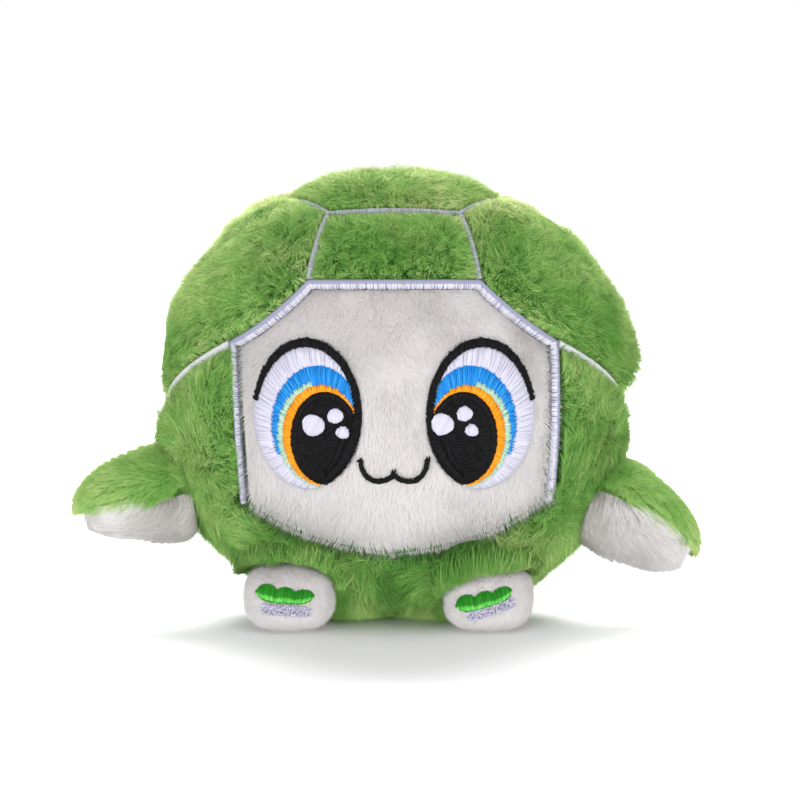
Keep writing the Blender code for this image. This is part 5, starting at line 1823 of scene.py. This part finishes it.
def flipper_strands(name, face, side, rng, to_body):
    """Pile of one half: it leaves the root as a mane and lies down towards the tip."""
    profile = np.linspace(0, 1, FLIPPER_PROFILE_STEPS)
    reach = flipper_place(profile, np.zeros(FLIPPER_PROFILE_STEPS), 0.0)
    arc = np.concatenate(([0], np.cumsum(np.linalg.norm(np.diff(reach, axis=0), axis=-1))))
    share = np.interp(rng.uniform(0, arc[-1], FLIPPER_STRANDS), arc, profile)
    share = share[rng.random(FLIPPER_STRANDS) < np.maximum(flipper_swell(share, FLIPPER_ROOT), 0.02)]
    share = np.clip(share, 0.005, 0.995)
    count = len(share)
    turn = rng.uniform(-0.06, math.pi + 0.06, count) * face
    out = flipper_normal(share, turn)
    if face < 0:
        share = share * FLIPPER_UNDER_SHARE
    base = flipper_place(share, turn, FLIPPER_CLOTH_WALL)
    top = flipper_place(share, turn, 0.0)
    edge = np.abs(np.cos(turn)) ** 6
    mane = fade(share, FLIPPER_MANE_SHARE) ** 0.7
    noise = drift(base, "lean_a", "lean_b", "fine")
    away = np.stack((0.9 - 0.4 * mane, np.zeros(count), np.where(face > 0, -0.75 * edge, -0.35)), -1)
    lean = tangent(away + noise * 0.4 + rng.normal(size=(count, 3)) * 0.25, out)
    upright = unit(out * column(1 - 0.6 * mane) + np.array((0, 0, face)) * column(mane))
    length, rough = FLIPPER_PILES[name]
    length = length * np.clip(rng.normal(1, 0.15, count), 0.6, 1.4) + FLIPPER_MANE_LENGTH * mane
    mid = base + unit(upright + lean * 0.4) * column(length * 0.5)
    tip = mid + unit(upright * 0.5 + lean) * column(length * 0.5)
    crest = (FLIPPER_CREST if face > 0 else FLIPPER_BULGE)[side]
    swell = crest * np.sin(math.pi * share) * np.abs(np.sin(turn))
    height = FLIPPER_MANE_LENGTH * mane + swell + 0.5 * MM * NOISE["height"](base)
    excess = dot(tip - top, out) - height - rng.normal(0.05, rough, count) * MM
    tip -= out * column(excess * PRESSED_TIP)
    mid -= out * column(excess * PRESSED_MID)
    gather_locks(base, mid, tip, LOCK_CELL, LOCK_SHARE)
    for points in (base, mid, tip):
        points[:, 2] -= FLIPPER_SAG[side] * np.clip(points[:, 0] / FLIPPER_LENGTH, 0, 1) ** 2
    # lighter towards the tip on both halves: painted shade near the body
    tone = (0.32 if face > 0 else 0.2) + 0.14 * NOISE["tone"](base) + 0.14 * NOISE["fine"](base)
    tone = tone + 0.25 * (np.clip(share, 0, 1) if face > 0 else share - 0.5)
    tone = tone + 0.12 * rng.normal(size=count)
    width = PILE_WIDTH if face > 0 else FACE_PILE_WIDTH * 1.1
    return strand_set(rng, *(to_body(v) for v in (base, mid, tip, out)), tone, width, FLIPPER_WIDTHS)


def make_flipper(side, sign):
    hinge, turned = flipper_matrix(side, sign)
    body = f"flipper_{side}"

    def to_body(points):
        return points @ turned.T

    bend = [hinge + to_body(np.array((reach, 0.0, 0.0))) for reach in FLIPPER_BEND]
    for name, face, colour in (("top", 1, "green"), ("under", -1, "white")):
        node, slot = f"flipper_{name}_{side}", f"{colour}_plush"
        shape = flipper_shell(face, FLIPPER_CLOTH_WALL, FLIPPER_WALL)
        shape.points = [to_body(p) for p in shape.points]
        shape.centre = hinge
        piece = shape.make(f"flipper_{name}_cloth_{side}", f"{colour}_cloth", node, slot, body, bend)
        rng = np.random.default_rng(800 + face)
        strands = flipper_strands(name, face, side, rng, to_body)
        make_pile(
            f"flipper_{name}_pile_{side}", strands, f"{colour}_pile", 0.5, rng, node, slot, body, hinge, bend)
    rows = (1 - np.cos(np.linspace(0, math.pi, FLIPPER_FILLING_STEPS))) / 2
    share, turn = np.meshgrid(rows, np.linspace(0, 2 * math.pi, FLIPPER_STEPS), indexing="ij")
    mesh = bmesh.new()
    points = flipper_place(share, turn, FLIPPER_WALL + GAP, 0.0)
    verts = [[mesh.verts.new(p) for p in row] for row in points]
    for row, after in zip(verts, verts[1:]):
        for c in range(len(row) - 1):
            mesh.faces.new((row[c], after[c], after[c + 1], row[c + 1]))
    set_points(mesh.verts, to_body(all_points(mesh.verts)))
    make_cloth(
        f"flipper_filling_{side}", mesh, "stuffing", f"flipper_stuffing_{side}", hinge, body)


def make_core():
    mesh = ball_surface(21)
    points = all_points(mesh.verts)
    rise = -PANEL_DEPTH - GAP - np.abs(NOISE["height"](points)) * 0.4 * MM
    set_points(mesh.verts, BALL.lift(points, rise))
    make_cloth("foam_ball", mesh, "foam", "foam_core")


# Stage, light and camera

AIM = BALL_CENTRE + np.array((1.1, 0.0, -1.9)) * MM
CAMERA_ELEVATION = math.radians(4.0)
CAMERA_DISTANCE = 1.0
CAMERA_LENS = 237.0
CAMERA_SENSOR = 36.0
CAMERA_CLIP = (0.01, 20.0)
FLOOR_RADIUS = 3.0
FLOOR_SHADE_REACH = 0.035
FLOOR_WHITE_REACH = 0.14
FLOOR_SHADE_SCALE = (1.65, 0.5, 1.0)
FLOOR_GLOW_NEAR = 0.0
FLOOR_UNDERLIGHT = 0.55
SKY_LIGHT, SKY_SEEN = 0.5, 1.0
LAMP_AIM = Vector((0, 0, 0.04))
LAMPS = (
    ("key", (-0.5, -1.1, 0.2), (0.8, 0.4), 8.0),
    ("fill", (0.6, -1.1, 0.2), (0.8, 0.4), 7.0),
    ("top", (0.1, -0.1, 1.1), (0.9, 0.9), 4.0),
    ("back", (0.0, 0.85, 0.62), (1.0, 0.4), 24.0),
)


def add_lamp(name, place, size, power):
    data = bpy.data.lights.new(name, "AREA")
    data.shape = "RECTANGLE"
    data.size, data.size_y = size
    data.energy = power
    lamp = bpy.data.objects.new(name, data)
    lamp.location = place
    lamp.rotation_euler = (LAMP_AIM - Vector(place)).to_track_quat("-Z", "Y").to_euler()
    bpy.context.scene.collection.objects.link(lamp)


def seen_rays(nodes):
    """1 for rays that only look: camera, glossy and transmission rays."""
    path = nodes.node("ShaderNodeLightPath").outputs
    found = path["Is Camera Ray"]
    for kind in ("Is Glossy Ray", "Is Transmission Ray"):
        found = nodes.node("ShaderNodeMath", {0: found, 1: path[kind]}, operation="MAXIMUM").outputs[0]
    return found


def make_stage():
    mesh = bmesh.new()
    bmesh.ops.create_circle(mesh, cap_ends=True, segments=96, radius=FLOOR_RADIUS)
    data = bpy.data.meshes.new("floor")
    mesh.to_mesh(data)
    mesh.free()
    floor = bpy.data.objects.new("floor", data)
    bpy.context.scene.collection.objects.link(floor)
    nodes = Principled(
        "floor", Roughness=0.6, Specular_IOR_Level=0.2, Base_Color=(*grey(0.75), 1),
        Emission_Color=(1, 1, 1, 1))
    scaled = nodes.node(
        "ShaderNodeVectorMath", {0: nodes.place(), 1: FLOOR_SHADE_SCALE}, operation="MULTIPLY")
    away = nodes.node("ShaderNodeVectorMath", {0: scaled.outputs[0]}, operation="LENGTH")
    spread = nodes.node("ShaderNodeMapRange", {
        "Value": away.outputs["Value"], "From Min": FLOOR_SHADE_REACH, "From Max": FLOOR_WHITE_REACH,
        "To Min": FLOOR_GLOW_NEAR, "To Max": 1.0}, interpolation_type="SMOOTHSTEP")
    glow = nodes.node(
        "ShaderNodeMix", {"Factor": seen_rays(nodes), "A": FLOOR_UNDERLIGHT, "B": spread.outputs[0]})
    nodes.link(glow.outputs["Result"], "Emission Strength")
    data.materials.append(nodes.material)

    world = bpy.data.worlds.new("studio")
    bpy.context.scene.world = world
    world.use_nodes = True
    world.node_tree.nodes.clear()
    sky_nodes = NodeTree(world.node_tree)
    strength = sky_nodes.node(
        "ShaderNodeMapRange", {"Value": seen_rays(sky_nodes), "To Min": SKY_LIGHT, "To Max": SKY_SEEN})
    sky = sky_nodes.node("ShaderNodeBackground", {"Color": (1, 1, 1, 1), "Strength": strength.outputs[0]})
    sky_nodes.node("ShaderNodeOutputWorld", {"Surface": sky.outputs[0]})

    for lamp in LAMPS:
        add_lamp(*lamp)


def make_camera():
    data = bpy.data.cameras.new("camera")
    data.lens = CAMERA_LENS
    data.sensor_width = CAMERA_SENSOR
    data.clip_start, data.clip_end = CAMERA_CLIP
    camera = bpy.data.objects.new("camera", data)
    back = Vector((0, -math.cos(CAMERA_ELEVATION), math.sin(CAMERA_ELEVATION)))
    camera.location = Vector(AIM) + back * CAMERA_DISTANCE
    camera.rotation_euler = (-back).to_track_quat("-Z", "Y").to_euler()
    bpy.context.scene.collection.objects.link(camera)
    bpy.context.scene.camera = camera
    bpy.context.scene.view_settings.view_transform = "Standard"


make_camera()
make_stage()
make_core()
make_green()
make_face()
make_mouth()
make_bands()
for _side, _sign in SIDES.items():
    make_eye(_side, _sign)
    make_foot(_side, _sign)
    make_flipper(_side, _sign)
